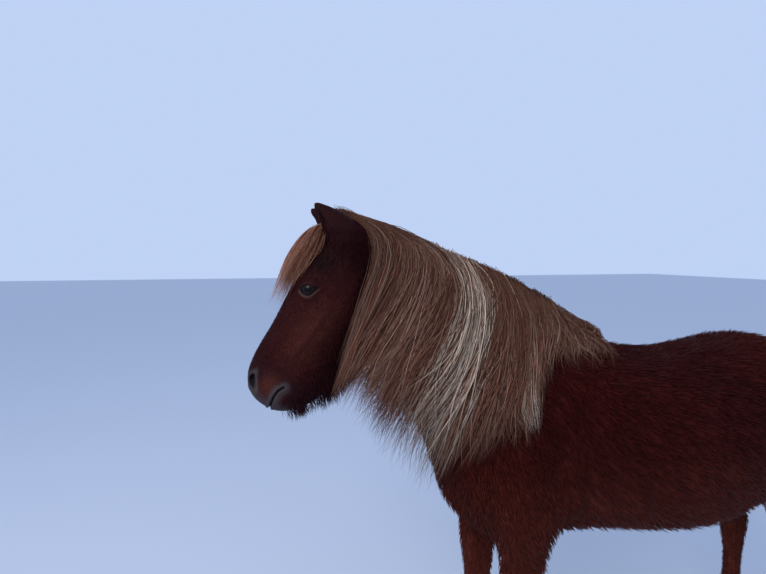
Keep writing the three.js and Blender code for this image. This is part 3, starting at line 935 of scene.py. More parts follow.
# The skin under one piece of coat, unwrapped flat so that each root has a place on the map
def part_of_skin(keep):
    skin_mesh.calc_loop_triangles()
    triangles = np.zeros(len(skin_mesh.loop_triangles) * 3, dtype=np.int64)
    skin_mesh.loop_triangles.foreach_get("vertices", triangles)
    triangles = triangles.reshape(-1, 3)
    all_points = mesh_points(skin_mesh)
    centres = all_points[triangles].mean(axis=1)
    chosen = triangles[keep(centres)]
    used, chosen = np.unique(chosen, return_inverse=True)
    chosen = chosen.reshape(-1, 3)
    chart = object_from("chart", all_points[used], chosen.tolist())
    bpy.context.view_layer.objects.active = chart
    chart.select_set(True)
    chart.data.uv_layers.new(name="OFBake")
    bpy.ops.object.mode_set(mode="EDIT")
    bpy.ops.mesh.select_all(action="SELECT")
    bpy.ops.uv.smart_project(angle_limit=1.15, island_margin=0.006)
    bpy.ops.object.mode_set(mode="OBJECT")
    flat = np.zeros(len(chart.data.loops) * 2)
    chart.data.uv_layers["OFBake"].data.foreach_get("uv", flat)
    order = np.zeros(len(chart.data.loops), dtype=np.int64)
    chart.data.loops.foreach_get("vertex_index", order)
    corners = all_points[used][order].reshape(-1, 3, 3)
    flat = flat.reshape(-1, 3, 2)
    corner_normals = mesh_normals(skin_mesh)[used][order].reshape(-1, 3, 3)
    chart_mesh = chart.data
    bpy.data.objects.remove(chart)
    bpy.data.meshes.remove(chart_mesh)
    return corners, corner_normals, flat


def roots_on(part, count, draw, density):
    corners, corner_normals, flat = part
    area = np.linalg.norm(np.cross(corners[:, 1] - corners[:, 0], corners[:, 2] - corners[:, 0]), axis=1)
    weight = area * density(corners.mean(axis=1))
    picked = draw.choice(len(area), count, p=weight / weight.sum())
    share = draw.random((count, 2))
    share = np.where(share.sum(axis=1, keepdims=True) > 1, 1 - share, share)
    mix = np.stack([1 - share.sum(axis=1), share[:, 0], share[:, 1]], 1)[:, :, None]
    roots = (corners[picked] * mix).sum(axis=1)
    normals = unit((corner_normals[picked] * mix).sum(axis=1))
    patches = (flat[picked] * mix).sum(axis=1)
    return roots, normals, np.clip(patches, PATCH, 1 - PATCH)


def turned(way, normals, angle):
    sideways = np.cross(normals, way)
    return way * np.cos(angle)[:, None] + sideways * np.sin(angle)[:, None]


coat_material, tree, shader, place = new_material("short_coat", 0.58)
painted = attribute(tree, "coat_colour", "Color")
fine = noise(place, 160.0, 2.0)
tree.links.new(painted.toned(fine * 0.5 + 0.75).output, shader.inputs["Base Color"])


def short_coat(name, count, keep, seed, density, steps=3, length=tuft_length, rise_angle=0.40,
               spread=0.14, width=0.042, droop=0.0, glow=1.0):
    draw = np.random.default_rng(seed)
    roots, normals, patches = roots_on(part_of_skin(keep), count, draw, density)
    way = lie_of_coat(roots)
    way = unit(way - normals * (way * normals).sum(axis=1, keepdims=True))
    way = turned(way, normals, 0.25 * waves(roots, 0.16, seed + 1) + spread * draw.normal(size=count))
    reach = length(roots, normals) * draw.uniform(0.72, 1.18, count)
    lift = rise_angle * draw.uniform(0.65, 1.25, count)
    path = [roots - normals * 0.0015]
    level = roots
    for step in range(1, steps):
        share = (step - 0.5) / (steps - 1)
        angle = lift * (1.25 - 0.75 * share)
        move = way * np.cos(angle)[:, None] + normals * np.sin(angle)[:, None]
        move[:, 2] -= droop * share
        level = level + unit(move) * (reach / (steps - 1))[:, None]
        path.append(level)
    path = np.stack(path, 1)
    half = width * reach * draw.uniform(0.75, 1.2, count)
    shape = np.interp(np.linspace(0, 1, steps), (0, 0.5, 1), (0.85, 1.0, 0.0))
    flat_way = np.repeat(np.cross(normals, way)[:, None], steps, axis=1)
    colour = coat_colour(roots) * glow * draw.uniform(0.75, 1.30, (count, 1))
    fade = np.interp(np.linspace(0, 1, steps), (0, 0.5, 1), (0.85, 1.05, 1.35))
    colours = colour[:, None] * fade[None, :, None]
    piece = hair_piece(name, path, half[:, None] * shape, flat_way, colours, patches, coat_material)


def head_share(points):
    return regions(points)[0]


def not_bare(points):
    haired = 1.0 - 0.985 * np.clip(bare_skin(points) * 1.3, 0, 1)
    return haired * step_up(lid_distance(points), 0.0080, 0.0125)


def below_crest(points):
    y = points[:, 1] - CAD_SHIFT
    top = np.interp(y, (-0.86, -0.73, -0.48, -0.28, -0.05), (1.70, 1.66, 1.575, 1.485, 1.36))
    return 1 - 0.97 * step_up(points[:, 2], top - 0.055, top - 0.020) * (1 - step_up(y, -0.06, 0.0))


def on_shoulder(points):
    return (head_share(points) <= 0.5) & (points[:, 1] < SHOULDER_END) & (points[:, 2] >= SHOULDER_FROM)


def on_barrel(points):
    back = points[:, 1]
    return (back >= SHOULDER_END) & (back < BARREL_END) & (points[:, 2] >= BODY_FROM)


def on_hindquarters(points):
    return (points[:, 1] >= BARREL_END) & (points[:, 2] >= BODY_FROM)


def on_legs(points):
    under_shoulder = (points[:, 2] < SHOULDER_FROM) & (points[:, 1] < SHOULDER_END)
    return (points[:, 2] < BODY_FROM) | under_shoulder


def evenly(points):
    return np.ones(len(points))


def head_density(points):
    return not_bare(points) * below_crest(points) * (1 + 0.8 * step_up(along_face(points), 0.1, 0.35))


def leg_density(points):
    return 1 + 0.6 * (1 - step_up(points[:, 2], 0.2, 0.5))


short_coat(
    "coat_head", 19500, lambda points: head_share(points) > 0.5, 11,
    head_density, rise_angle=0.21, width=0.055, glow=1.25,
)
short_coat("coat_neck_and_shoulder", 14500, on_shoulder, 21, below_crest)
short_coat("coat_barrel", 14000, on_barrel, 31, evenly)
short_coat("coat_hindquarters", 12000, on_hindquarters, 41, evenly)
short_coat("coat_legs", 12500, on_legs, 51, leg_density, width=0.060, rise_angle=0.30)


# Longer hair hangs from the edge of the jaw, from the chin and from the throat.
# It grows out of the same skin as the short coat and droops a little at the ends.
def jaw_density(points):
    behind = behind_face(points)
    along = along_face(points)
    jaw = step_up(behind, 0.135, 0.21) * step_up(along, 0.06, 0.16) * (1 - step_up(along, 0.46, 0.50))
    chin = hill(np.hypot(along - 0.492, behind - 0.150), 0.022) * 1.6
    return head_share(points) * np.maximum(jaw, chin) + 1e-9


def jaw_length(points, normals):
    chin = hill(np.hypot(along_face(points) - 0.492, behind_face(points) - 0.150), 0.025)
    return 0.032 + 0.014 * chin + 0.030 * step_up(behind_face(points), 0.15, 0.22)


short_coat(
    "jaw_fringe", 2300, lambda points: (head_share(points) > 0.5) & (jaw_density(points) > 0.05), 61,
    jaw_density, steps=5, length=jaw_length, rise_angle=0.66, width=0.015, spread=0.24, droop=0.75,
)


# Feathers are the longer hairs behind each fetlock, with a short fringe over the top of the hoof.
# They grow from the skin of the four feet and point down and back.
LEG_PLACES = []
for hoof_node in HOOF_NODES:
    hoof_low, hoof_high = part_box(hoof_node)
    LEG_PLACES.append(np.array([
        (hoof_low[0] + hoof_high[0]) / 2,
        hoof_low[1] * 0.42 + hoof_high[1] * 0.58,
    ]))


def feather_density(points):
    z = points[:, 2]
    rear = np.zeros(len(points))
    for hoof_place in LEG_PLACES:
        offset = points[:, :2] - hoof_place
        close = np.hypot(offset[:, 0], offset[:, 1]) < 0.12
        rear = np.where(close, step_up(offset[:, 1], -0.01, 0.03), rear)
    fetlock = rear * step_up(z, 0.09, 0.12) * (1 - step_up(z, 0.19, 0.30))
    crown = 0.8 * (1 - step_up(z, 0.085, 0.110))
    return np.maximum(fetlock, crown) + 1e-9


def feather_length(points, normals):
    return 0.022 + 0.034 * step_up(points[:, 2], 0.105, 0.15) * (1 - step_up(points[:, 2], 0.22, 0.32))


short_coat(
    "fetlock_feathers", 2000, lambda points: (points[:, 2] < 0.32) & (feather_density(points) > 0.05),
    71, feather_density, steps=5, length=feather_length, rise_angle=0.45, width=0.020, spread=0.12,
    droop=0.5,
)


# Dark longer hair fills the place between the foot of each ear and the start of the mane.
# It stands up more than the short coat around it.
def ear_foot_density(points):
    along = along_face(points)
    behind = behind_face(points)
    near_foot = hill(np.hypot((along - 0.030) / 0.042, (behind - 0.085) / 0.034), 1.0)
    return near_foot * step_up(abs(points[:, 0]), 0.020, 0.040) * (1 - regions(points)[2]) + 1e-9


def ear_foot_length(points, normals):
    return np.full(len(points), 0.030)


short_coat(
    "ear_foot_hair", 420,
    lambda points: (head_share(points) > 0.5) & (ear_foot_density(points) > 0.08), 81, ear_foot_density,
    steps=5, length=ear_foot_length, rise_angle=0.55, width=0.018, spread=0.30, glow=0.75,
)


# The mane grows along the crest and falls on the near side, over neck and shoulder.
# It is made of long thin strands that gather in locks, with a cream streak in the middle.
# Each fall line gives how far back and how high a lock passes, in millimetres, root to tip.
FALL_LINES = [
    [(-850, 1730), (-761, 1631), (-813, 1481), (-853, 1365), (-892, 1248)],
    [(-803, 1715), (-735, 1615), (-783, 1471), (-824, 1355), (-864, 1246)],
    [(-724, 1695), (-680, 1603), (-748, 1456), (-802, 1346), (-846, 1250)],
    [(-646, 1668), (-608, 1583), (-679, 1427), (-739, 1299), (-793, 1198)],
    [(-549, 1635), (-532, 1517), (-602, 1360), (-667, 1219), (-717, 1101)],
    [(-446, 1597), (-456, 1460), (-509, 1293), (-558, 1158), (-604, 992)],
    [(-348, 1558), (-369, 1418), (-418, 1289), (-458, 1170), (-503, 1042)],
    [(-263, 1518), (-289, 1395), (-317, 1292), (-334, 1203), (-331, 1118)],
    [(-183, 1473), (-208, 1410), (-230, 1359), (-245, 1320), (-247, 1279)],
    [(-95, 1414), (-95, 1372), (-110, 1341), (-118, 1312), (-122, 1284)],
    [(10, 1365), (1, 1338), (-4, 1317), (-9, 1299), (-6, 1280)],
]
FALL_STEPS = 25
CREST_STEPS = 71
SHEET_LIFT = 0.006
STRANDS_PER_LOCK = 15
STRAY_SHARE = 0.26
COMBED_SHARE = 0.32
SHORT_SHARE = 0.14
RED_SHARE = 0.22
LONE_WHITE_SHARE = 0.012
CREAM_LINE = 35.3
CREAM_WIDTH = 2.6
WISP_LINE = 49.6
WISP_WIDTH = 0.75
RAGGED_FRONT = 7
COMBED_BEFORE = 34
DRIFT_BEFORE = 42
RAGGED_REAR = 62
STEP_PAST_END = 0.018
ROOT_SIDES = (-0.018, 0.013)

fall = np.array(FALL_LINES, float) / 1000
fall_share = np.linspace(0, 1, FALL_STEPS)
line_share = np.linspace(0, len(FALL_LINES) - 1, CREST_STEPS)
knots = np.linspace(0, 1, fall.shape[1])


def even_curve(values, known, wanted):
    # Cubic through the known values, with slopes taken from the neighbours
    slope = np.gradient(values, known, axis=0)
    place = np.clip(np.searchsorted(known, wanted, side="right") - 1, 0, len(known) - 2)
    step = known[place + 1] - known[place]
    share = (wanted - known[place]) / step
    shape = (-1,) + (1,) * (values.ndim - 1)
    step = step.reshape(shape)
    share = share.reshape(shape)
    return (
        values[place] * (2 * share ** 3 - 3 * share ** 2 + 1)
        + slope[place] * step * (share ** 3 - 2 * share ** 2 + share)
        + values[place + 1] * (3 * share ** 2 - 2 * share ** 3)
        + slope[place + 1] * step * (share ** 3 - share ** 2)
    )


sheet = even_curve(fall, np.arange(len(FALL_LINES), dtype=float), line_share)
sheet = even_curve(sheet.transpose(1, 0, 2), knots, fall_share).transpose(1, 0, 2)
sheet_side = np.zeros(sheet.shape[:2])
for line in range(CREST_STEPS):
    side = 0.012
    for step in range(FALL_STEPS):
        back, up = sheet[line, step]
        hit = skin_tree.ray_cast((0.6, back + CAD_SHIFT, up), (-1, 0, 0))
        found = hit[0].x if hit[0] is not None and hit[0].x > 0 else 0.0
        drop = 0.0 if step == 0 else sheet[line, step - 1][1] - up
        side = max(found + SHEET_LIFT, side - 0.06 * max(drop, 0))
        sheet_side[line, step] = side
for turn in range(6):
    sheet_side[1:-1] = (sheet_side[:-2] + 2 * sheet_side[1:-1] + sheet_side[2:]) / 4
    sheet_side[:, 1:-1] = (sheet_side[:, :-2] + 2 * sheet_side[:, 1:-1] + sheet_side[:, 2:]) / 4
sheet_side[:, 0] = 0.004
mane_sheet = np.stack([sheet_side, sheet[:, :, 0] + CAD_SHIFT, sheet[:, :, 1]], 2)
crest_skin = []
for line in range(CREST_STEPS):
    hit = skin_tree.ray_cast((0.0, mane_sheet[line, 0, 1], 2.2), (0, 0, -1))
    crest_skin.append(hit[0].z if hit[0] is not None else mane_sheet[line, 0, 2] - 0.03)
crest_skin = np.array(crest_skin)


def along_crest(values, line):
    return np.interp(line, np.arange(CREST_STEPS), values)


def read_between(grid, column, row):
    # Reads a value between the four nearest places of a grid
    column = np.clip(column, 0, grid.shape[0] - 1.001)
    row = np.clip(row, 0, grid.shape[1] - 1.001)
    left = column.astype(int)
    top = row.astype(int)
    shape = left.shape + (1,) * (grid.ndim - 2)
    across = (column - left).reshape(shape)
    below = (row - top).reshape(shape)
    near = grid[left, top] * (1 - below) + grid[left, top + 1] * below
    far = grid[left + 1, top] * (1 - below) + grid[left + 1, top + 1] * below
    return near * (1 - across) + far * across


sheet_across = unit(np.gradient(mane_sheet, axis=0))
sheet_down = unit(np.gradient(mane_sheet, axis=1))
sheet_out = unit(np.cross(sheet_across, sheet_down))
sheet_out *= np.sign(sheet_out[:, :, :1] + 1e-6)

MANE_FLAXEN = np.array([0.128, 0.057, 0.034])
MANE_PALE = np.array([0.235, 0.142, 0.104])
MANE_RED = np.array([0.066, 0.019, 0.012])
MANE_CREAM = np.array([0.500, 0.400, 0.310])
long_hair_material, tree, shader, place = new_material("long_hair", 0.46)
painted = attribute(tree, "coat_colour", "Color")
fine = noise(stretched(place, (170.0, 170.0, 24.0)), 1.0, 2.0)
tree.links.new(painted.toned(fine * 0.4 + 0.8).output, shader.inputs["Base Color"])
for material in (skin_material, coat_material, long_hair_material):
    material.node_tree.nodes["Principled BSDF"].inputs["Specular IOR Level"].default_value = 0.05


def wander(share, draw, count, cycles, size):
    total = np.zeros((count, len(share)))
    for turn in range(3):
        speed = draw.uniform(0.4, 1.0, (count, 1)) * cycles * (turn + 1) / 2
        phase = draw.uniform(0, FULL_TURN, (count, 1))
        total += np.sin(share[None] * speed * FULL_TURN + phase) / (turn + 1)
    return total * size / 1.5


def flaxen_or_red(draw, tint, red_share, red_low, red_high):
    count = len(tint)
    colour = MANE_FLAXEN + (MANE_PALE - MANE_FLAXEN) * tint[:, None]
    red = draw.random(count) < red_share
    red_colour = MANE_RED * draw.uniform(red_low, red_high, (count, 1))
    return np.where(red[:, None], red_colour, colour), red


def long_strands(name, count, start, end, seed, steps=14):
    draw = np.random.default_rng(seed)
    share = np.linspace(0, 1, steps) ** 1.2
    locks = int(count / STRANDS_PER_LOCK)
    order = np.clip((np.arange(locks) + draw.uniform(-0.7, 0.7, locks)) / locks, 0, 1)
    lock_line = start + (end - start) * order ** (0.42 if start == 0 else 1.0)
    lock_line += draw.normal(0, 0.5, locks)
    lock_layer = draw.random(locks)
    lock_pale = draw.normal(0, 1, locks)
    lock = draw.integers(0, locks, count)
    stray = draw.random(count) < STRAY_SHARE
    spread = draw.normal(0, 1.15, count)
    line = lock_line[lock]
    gather = np.where(stray, 0.0, draw.uniform(0.45, 0.92, count))
    tight = 1 - gather[:, None] * np.minimum(share[None] * 1.6, 1) ** 0.8
    lock_sway = wander(share, draw, locks, 1.25, 2.3)[lock] * share[None] ** 0.7
    own_sway = wander(share, draw, count, 2.3, 0.62) * share[None] ** 0.6
    own_sway = own_sway * np.where(stray, 3.0, 1.0)[:, None]
    # Each strand leaves the crest pointing backwards and then turns down
    sweep = draw.uniform(2.0, 6.5, count) + 5.0 * draw.random(count) * hill(line - 10.0, 9.0)
    combed = draw.random(count) < COMBED_SHARE * (line < COMBED_BEFORE)
    sweep = np.where(combed, draw.uniform(10.0, 22.0, count), sweep)
    settle = np.where(combed, 4.2, 6.5)[:, None]
    drift = draw.uniform(0, 6.5, count) * lock_layer[lock] * step_up(line, 3.0, 16.0)
    drift = drift * (line < DRIFT_BEFORE)
    lines = line[:, None] + spread[:, None] * tight * 1.25 + lock_sway + own_sway
    lines = lines - drift[:, None] * step_up(share, 0.25, 1.0)[None]
    lines = abs(lines)
    lines = np.maximum(lines - sweep[:, None] * np.exp(-share[None] * settle), 0.25 * lines)
    over = np.maximum(lines - (CREST_STEPS - 1.5), 0)
    lines = lines - over * 0.8
    length = draw.uniform(0.86, 1.08, count) * draw.uniform(0.90, 1.07, locks)[lock]
    short = draw.random(count) < SHORT_SHARE
    length = np.where(short, length * draw.uniform(0.4, 0.9, count), length)
    length = np.where(line < RAGGED_FRONT, length * draw.uniform(0.55, 1.0, count), length)
    length = np.where(line > RAGGED_REAR, length * draw.uniform(0.55, 1.1, count), length)
    slow_start = np.where(combed, 1.45, 1.0)[:, None]
    falls = share[None] ** slow_start * length[:, None] * (FALL_STEPS - 1)
    base = read_between(mane_sheet, lines, falls)
    beyond = np.maximum(falls - (FALL_STEPS - 1.001), 0)
    row = np.clip(lines.round().astype(int), 0, CREST_STEPS - 1)
    column = np.clip(falls.round().astype(int), 0, FALL_STEPS - 1)
    outwards = sheet_out[row, column]
    down = sheet_down[row, -1]
    base = base + down * (beyond * STEP_PAST_END)[:, :, None]
    layer = np.clip(lock_layer[lock] * 0.70 + draw.random(count) * 0.30, 0, 1)
    thickness = np.interp(share, (0, 0.12, 0.5, 1), (0.002, 0.016, 0.028, 0.022))
    puff = layer[:, None] * thickness[None] + wander(share, draw, locks, 1.2, 0.0050)[lock]
    puff += wander(share, draw, count, 2.4, 0.0022) * np.where(stray, 3.4, 1.0)[:, None]
    puff = np.maximum(puff, -0.002)
    path = base + outwards * (puff * np.minimum(share * 6, 1)[None])[:, :, None]
    # The first point is the root in the skin and the next two arch over the crest
    root_side = draw.uniform(*ROOT_SIDES, count)
    top_height = np.interp(layer, (0, 1), (0.30, 1.0)) + draw.normal(0, 0.06, count)
    crest_top = mane_sheet[:, 0, 2]
    for step, keep in ((0, 0.0), (1, 0.25), (2, 0.75)):
        here = lines[:, step]
        skin_height = along_crest(crest_skin, here)
        arch = skin_height + (along_crest(crest_top, here) - skin_height) * top_height
        back = along_crest(mane_sheet[:, 0, 1], here)
        if step == 0:
            arch = skin_height - 0.006
        target = np.stack([root_side * (1 - 0.4 * step) + 0.006 * step, back, arch], 1)
        path[:, step] = target * (1 - keep) + path[:, step] * keep
    scatter = draw.normal(0, 0.014, count) * step_up(line, 60.0, 68.0)
    path[:, :, 1] += scatter[:, None] * share[None]
    path[:, 3:-1] = (path[:, 2:-2] + 2 * path[:, 3:-1] + path[:, 4:]) / 4
    path[:, 0, 1] += draw.normal(0, 0.006, count)
    half = draw.uniform(0.0006, 0.00125, count)
    shape = np.interp(np.linspace(0, 1, steps), (0, 0.08, 0.7, 1), (0.8, 1.0, 0.85, 0.0))
    flat_way = np.cross(outwards, unit(np.gradient(path, axis=1)))
    tint = np.clip(0.42 + 0.34 * lock_pale[lock] + 0.30 * draw.normal(size=count), 0, 1)
    red_share = RED_SHARE + 0.25 * (lock_pale[lock] < -0.5)
    colour, red = flaxen_or_red(draw, tint * 0.8, red_share, 0.7, 1.7)
    cream_place = hill(line + 0.30 * spread - CREAM_LINE, CREAM_WIDTH)
    lone_white = (draw.random(count) < LONE_WHITE_SHARE) & (line > 9)
    cream = (cream_place > draw.random(count) * 1.05) | lone_white
    colour = np.where(cream[:, None], MANE_CREAM * draw.uniform(0.75, 1.20, (count, 1)), colour)
    colour = np.where(lone_white[:, None], colour * 0.6, colour)
    colour = np.where((stray & ~red)[:, None], colour * 1.40, colour)
    # Strands lying deeper in the mane are painted darker, as painted shade under the outer layers; the
    # random factor is each strand's own tone
    colour = colour * draw.uniform(0.50, 1.45, (count, 1)) * (0.22 + 0.90 * layer[:, None])
    colour = colour * (1 - 0.40 * (1 - step_up(line, 3.0, 9.0)))[:, None]
    root_tone = np.interp(share, (0, 0.20, 0.6, 1), (0.0, 0.45, 0.9, 1.0))[None, :, None]
    root_tone = np.where(cream[:, None, None], 0.50 + 0.50 * root_tone, root_tone)
    tip_light = np.interp(share, (0, 0.5, 1), (1.0, 1.0, 1.50))[None, :, None]
    tip_light = np.where(cream[:, None, None], 1 + (1 - tip_light) * 0.9, tip_light)
    root_colour = MANE_FLAXEN * 0.60 + MANE_RED * 0.40
    colours = (root_colour + (colour[:, None] - root_colour) * root_tone) * tip_light
    in_wisp = hill(lines[:, -1] - WISP_LINE, WISP_WIDTH) > draw.random(count)
    wisp = in_wisp[:, None] * step_up(share, 0.66, 0.84)[None]
    colours = colours + (MANE_CREAM * 1.15 - colours) * wisp[:, :, None]
    patches = np.stack([
        (np.clip(lines[:, 1], start, end) - start) / (end - start) * 0.98 + 0.01,
        (root_side - ROOT_SIDES[0]) / (ROOT_SIDES[1] - ROOT_SIDES[0]) * 0.98 + 0.01,
    ], 1)
    piece = hair_piece(name, path, half[:, None] * shape, flat_way, colours, patches, long_hair_material)
    return piece


mane_front = long_strands("mane_front", 1950, 0.0, 29.0, 101)
mane_middle = long_strands("mane_middle", 2150, 27.0, 51.0, 102)
mane_rear = long_strands("mane_rear", 1400, 49.0, 70.0, 103)
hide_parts("mane")


# The forelock springs from the poll between the ears and hangs over the forehead to below the
# eyes. Its outer line is given as metres down the face and behind it, so minus lies in front.
FORELOCK_OUTER = ((0.030, -0.051), (0.083, -0.070), (0.148, -0.076), (0.213, -0.066), (0.270, -0.056))


def face_point(side, along, behind):
    back = poll_y - along * math.sin(FACE_LEAN) + behind * math.cos(FACE_LEAN)
    up = poll_z - along * math.cos(FACE_LEAN) - behind * math.sin(FACE_LEAN)
    return np.stack([side, back, up], -1)


FACE_STEPS = 40
SIDE_STEPS = 33
FORELOCK_REACH = 0.080
FORELOCK_DOWN = 0.30
FORELOCK_LOCKS = 34
FORELOCK_LENGTH = 0.290
FORELOCK_ROOT = 0.022
FORELOCK_WARMTH = np.array([1.10, 0.95, 0.88])

# How far the skin lies in front of the face line, over the width of the forehead
side_places = np.linspace(-FORELOCK_REACH, FORELOCK_REACH, SIDE_STEPS)
face_places = np.linspace(0.0, FORELOCK_DOWN, FACE_STEPS)
face_front = np.zeros((SIDE_STEPS, FACE_STEPS))
toward_face = Vector((0, math.cos(FACE_LEAN), -math.sin(FACE_LEAN)))
for column, side in enumerate(side_places):
    for row, along in enumerate(face_places):
        start = face_point(side, along, -0.30)
        hit = skin_tree.ray_cast(Vector(start), toward_face)
        face_front[column, row] = hit[3] - 0.30 if hit[0] is not None else 0.06
face_front = np.minimum(face_front, 0.075)


def forelock_strands(count, seed, steps=13):
    draw = np.random.default_rng(seed)
    share = np.linspace(0, 1, steps)
    locks = FORELOCK_LOCKS
    lock_side = draw.uniform(-1, 1, locks)
    lock = draw.integers(0, locks, count)
    root_side = draw.uniform(-FORELOCK_ROOT, FORELOCK_ROOT, count)
    fan = np.clip(lock_side[lock] * 0.95 + draw.normal(0, 0.14, count), -1.15, 1.15)
    reach = draw.uniform(0.62, 1.0, count) * draw.uniform(0.86, 1.04, locks)[lock] * FORELOCK_LENGTH
    reach = reach * np.interp(abs(fan), (0.5, 1.1), (1.0, 0.70))
    along = 0.004 + share[None] * reach[:, None]
    opening = np.interp(share, (0, 0.35, 0.75, 1.0), (0.0, 0.75, 1.0, 0.92))
    side = root_side[:, None] * (1 - opening)[None] + fan[:, None] * 0.070 * opening[None]
    side += wander(share, draw, locks, 0.8, 0.006)[lock] * share[None]
    side += wander(share, draw, count, 1.8, 0.0022) * share[None] ** 0.6
    column = (side + FORELOCK_REACH) / (2 * FORELOCK_REACH) * (SIDE_STEPS - 1)
    skin_place = read_between(face_front, column, along / FORELOCK_DOWN * (FACE_STEPS - 1))
    outer = np.interp(along, *np.array(FORELOCK_OUTER).T)
    centre = np.sqrt(np.clip(1 - (side / 0.086) ** 2, 0.12, 1))
    layer = draw.random(count) ** 1.15
    gap = np.maximum(skin_place - 0.006 - outer, 0.010) * centre
    behind = skin_place - 0.005 - gap * layer[:, None] * np.minimum(share * 4 + 0.25, 1)[None]
    behind += wander(share, draw, count, 1.6, 0.0020)
    path = face_point(side, along, behind)
    path[:, 0] = face_point(root_side, 0.004 + 0.03 * draw.random(count), skin_place[:, 0] + 0.004)
    for turn in range(3):
        path[:, 1:-1] = (path[:, :-2] + 2 * path[:, 1:-1] + path[:, 2:]) / 4
    half = draw.uniform(0.0006, 0.0012, count)
    shape = np.interp(share, (0, 0.1, 0.7, 1), (0.8, 1.0, 0.8, 0.0))
    flat_way = np.tile([1.0, 0.0, 0.0], (count, steps, 1))
    tint = np.clip(0.40 + 0.35 * draw.normal(size=count), 0, 1)
    colour = flaxen_or_red(draw, tint, 0.16, 0.9, 1.7)[0]
    colour = colour * draw.uniform(1.05, 1.55, (count, 1)) * FORELOCK_WARMTH
    tone = np.interp(share, (0, 0.3, 1), (0.62, 0.95, 1.35))[None, :, None]
    patch_across = (root_side + FORELOCK_ROOT) / (2 * FORELOCK_ROOT)
    patches = np.stack([patch_across, draw.uniform(0.01, 0.99, count)], 1)
    return hair_piece(
        "forelock_hair", path, half[:, None] * shape, flat_way, colour[:, None] * tone,
        np.clip(patches, PATCH, 1 - PATCH), long_hair_material,
    )


forelock = forelock_strands(1350, 201)
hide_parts("forelock")


# The tail hangs from the dock close to the buttocks, a full bundle of long hair that
# ends in thin uneven tips above the ground.
tail_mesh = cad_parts["tail"].data
tail_points = mesh_points(tail_mesh)
tail_edges = np.zeros(len(tail_mesh.edges) * 2, dtype=np.int64)
tail_mesh.edges.foreach_get("vertices", tail_edges)
tail_edges = tail_edges.reshape(-1, 2)
TAIL_LEVELS = 24
TAIL_ROOT_DEPTH = 0.030
TAIL_HALF_WIDTH = 0.034
TAIL_HALF_DEPTH = 0.020
TAIL_STRANDS_PER_LOCK = 24
DOCK_SHARE = 0.26
tail_top = tail_points[:, 2].max() - 0.02
tail_end = tail_points[:, 2].min() + 0.012
tail_heights = np.linspace(tail_top, tail_end, TAIL_LEVELS)
tail_low = np.zeros((TAIL_LEVELS, 2))
tail_high = np.zeros((TAIL_LEVELS, 2))
for row, height in enumerate(tail_heights):
    first = tail_points[tail_edges[:, 0]]
    second = tail_points[tail_edges[:, 1]]
    crossing = (first[:, 2] - height) * (second[:, 2] - height) <= 0
    crossing &= abs(first[:, 2] - second[:, 2]) > 1e-6
    first = first[crossing]
    second = second[crossing]
    part = (height - first[:, 2]) / (second[:, 2] - first[:, 2])
    cut = first + (second - first) * part[:, None]
    tail_low[row] = cut[:, :2].min(axis=0)
    tail_high[row] = cut[:, :2].max(axis=0)
tail_middle = (tail_low + tail_high) / 2
tail_half = (tail_high - tail_low) / 2
tail_half = np.maximum(tail_half, (TAIL_HALF_WIDTH, TAIL_HALF_DEPTH))


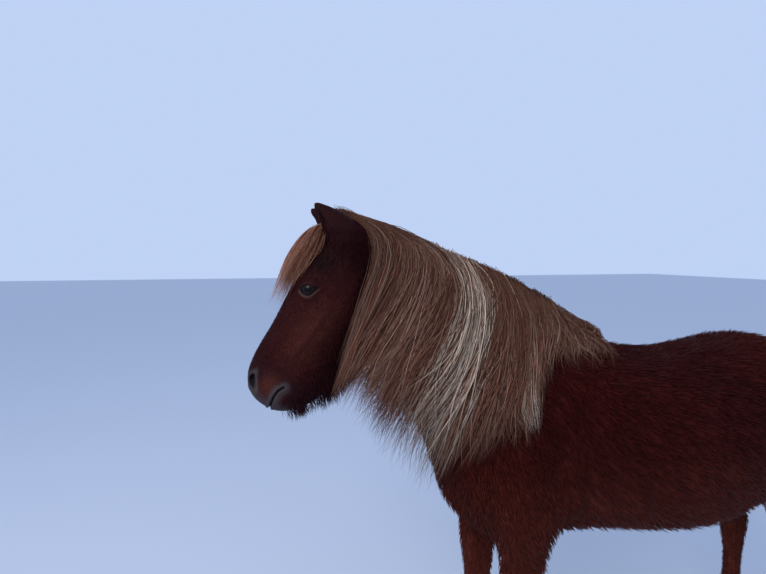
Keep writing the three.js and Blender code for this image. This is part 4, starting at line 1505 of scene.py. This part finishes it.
def tail_strands(count, seed, steps=16):
    draw = np.random.default_rng(seed)
    share = np.linspace(0, 1, steps)
    locks = int(count / TAIL_STRANDS_PER_LOCK)
    lock_turn = draw.uniform(0, FULL_TURN, locks)
    lock_reach = np.sqrt(draw.random(locks))
    lock = draw.integers(0, locks, count)
    turn = lock_turn[lock] + draw.normal(0, 0.22, count)
    reach = np.clip(lock_reach[lock] + draw.normal(0, 0.10, count), 0, 1)
    start = draw.random(count) ** 1.6 * DOCK_SHARE
    end = start + (1 - start) * draw.uniform(0.66, 1.0, count) * draw.uniform(0.9, 1.02, locks)[lock]
    level = start[:, None] + (np.minimum(end, 1.0) - start)[:, None] * share[None]
    row = np.clip(level * (TAIL_LEVELS - 1), 0, TAIL_LEVELS - 1.001)
    low = row.astype(int)
    part = (row - low)[:, :, None]
    middle = tail_middle[low] * (1 - part) + tail_middle[low + 1] * part
    half_size = tail_half[low] * (1 - part) + tail_half[low + 1] * part
    grow = np.minimum(0.55 + share * 4.0, 1)[None] * reach[:, None]
    sway = wander(share, draw, locks, 0.9, 0.10)[lock] * share[None]
    turn = turn[:, None] + sway * 2 + wander(share, draw, count, 1.5, 0.10)
    pinch = 1 - 0.12 * share[None]
    side = middle[:, :, 0] + half_size[:, :, 0] * np.cos(turn) * grow * pinch
    back = middle[:, :, 1] + half_size[:, :, 1] * np.sin(turn) * grow * pinch
    height = tail_top + (tail_end - tail_top) * level
    path = np.stack([side, back, height], 2)
    path[:, 0, 1] -= TAIL_ROOT_DEPTH
    half = draw.uniform(0.0008, 0.0015, count)
    shape = np.interp(share, (0, 0.08, 0.7, 1), (0.8, 1.0, 0.8, 0.0))
    outwards = unit(np.stack([np.cos(turn), np.sin(turn), np.zeros_like(turn)], 2))
    flat_way = np.cross(outwards, unit(np.gradient(path, axis=1)))
    tint = np.clip(0.35 + 0.30 * draw.normal(size=locks)[lock] + 0.25 * draw.normal(size=count), 0, 1)
    colour = flaxen_or_red(draw, tint, 0.26, 0.8, 1.5)[0]
    colour = colour * draw.uniform(0.75, 1.15, (count, 1))
    tone = np.interp(share, (0, 0.2, 1), (0.5, 0.85, 1.25))[None, :, None]
    patch_across = (lock_turn[lock] / FULL_TURN + 0.02 * draw.normal(size=count)) % 1
    patches = np.stack([patch_across, start / DOCK_SHARE], 1)
    return hair_piece(
        "tail_hair", path, half[:, None] * shape, flat_way, colour[:, None] * tone,
        np.clip(patches, PATCH, 1 - PATCH), long_hair_material,
    )


tail = tail_strands(1800, 301)
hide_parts("tail")


# A plain pale floor and an even cool light around the model, with one large soft lamp high on
# its near side. They are there for the pictures and are no part of the horse.
SKY_COLOUR = (0.52, 0.645, 0.91, 1.0)
FLOOR_COLOUR = (0.56, 0.60, 0.68, 1.0)
floor = object_from(
    "floor",
    [(-30, -30, 0), (30, -30, 0), (30, 30, 0), (-30, 30, 0)],
    [(0, 1, 2, 3)],
)
floor_material, _, shader, _ = new_material("pale_floor", 0.9)
shader.inputs["Base Color"].default_value = FLOOR_COLOUR
floor.data.materials.append(floor_material)
bpy.context.scene.view_settings.view_transform = "Standard"
world = bpy.data.worlds.new("studio")
bpy.context.scene.world = world
world.use_nodes = True
background = world.node_tree.nodes["Background"]
background.inputs["Color"].default_value = SKY_COLOUR
background.inputs["Strength"].default_value = 1.0


def soft_light(name, place, aim, size, power, colour):
    light_data = bpy.data.lights.new(name, "AREA")
    light_data.shape = "DISK"
    light_data.size = size
    light_data.energy = power
    light_data.color = colour
    light = bpy.data.objects.new(name, light_data)
    bpy.context.scene.collection.objects.link(light)
    light.location = place
    light.rotation_mode = "QUATERNION"
    light.rotation_quaternion = (Vector(aim) - Vector(place)).to_track_quat("-Z", "Y")


soft_light("high_soft_light", (3.0, -3.2, 4.0), (0, -0.4, 1.1), 3.0, 170, (1.0, 0.97, 0.93))
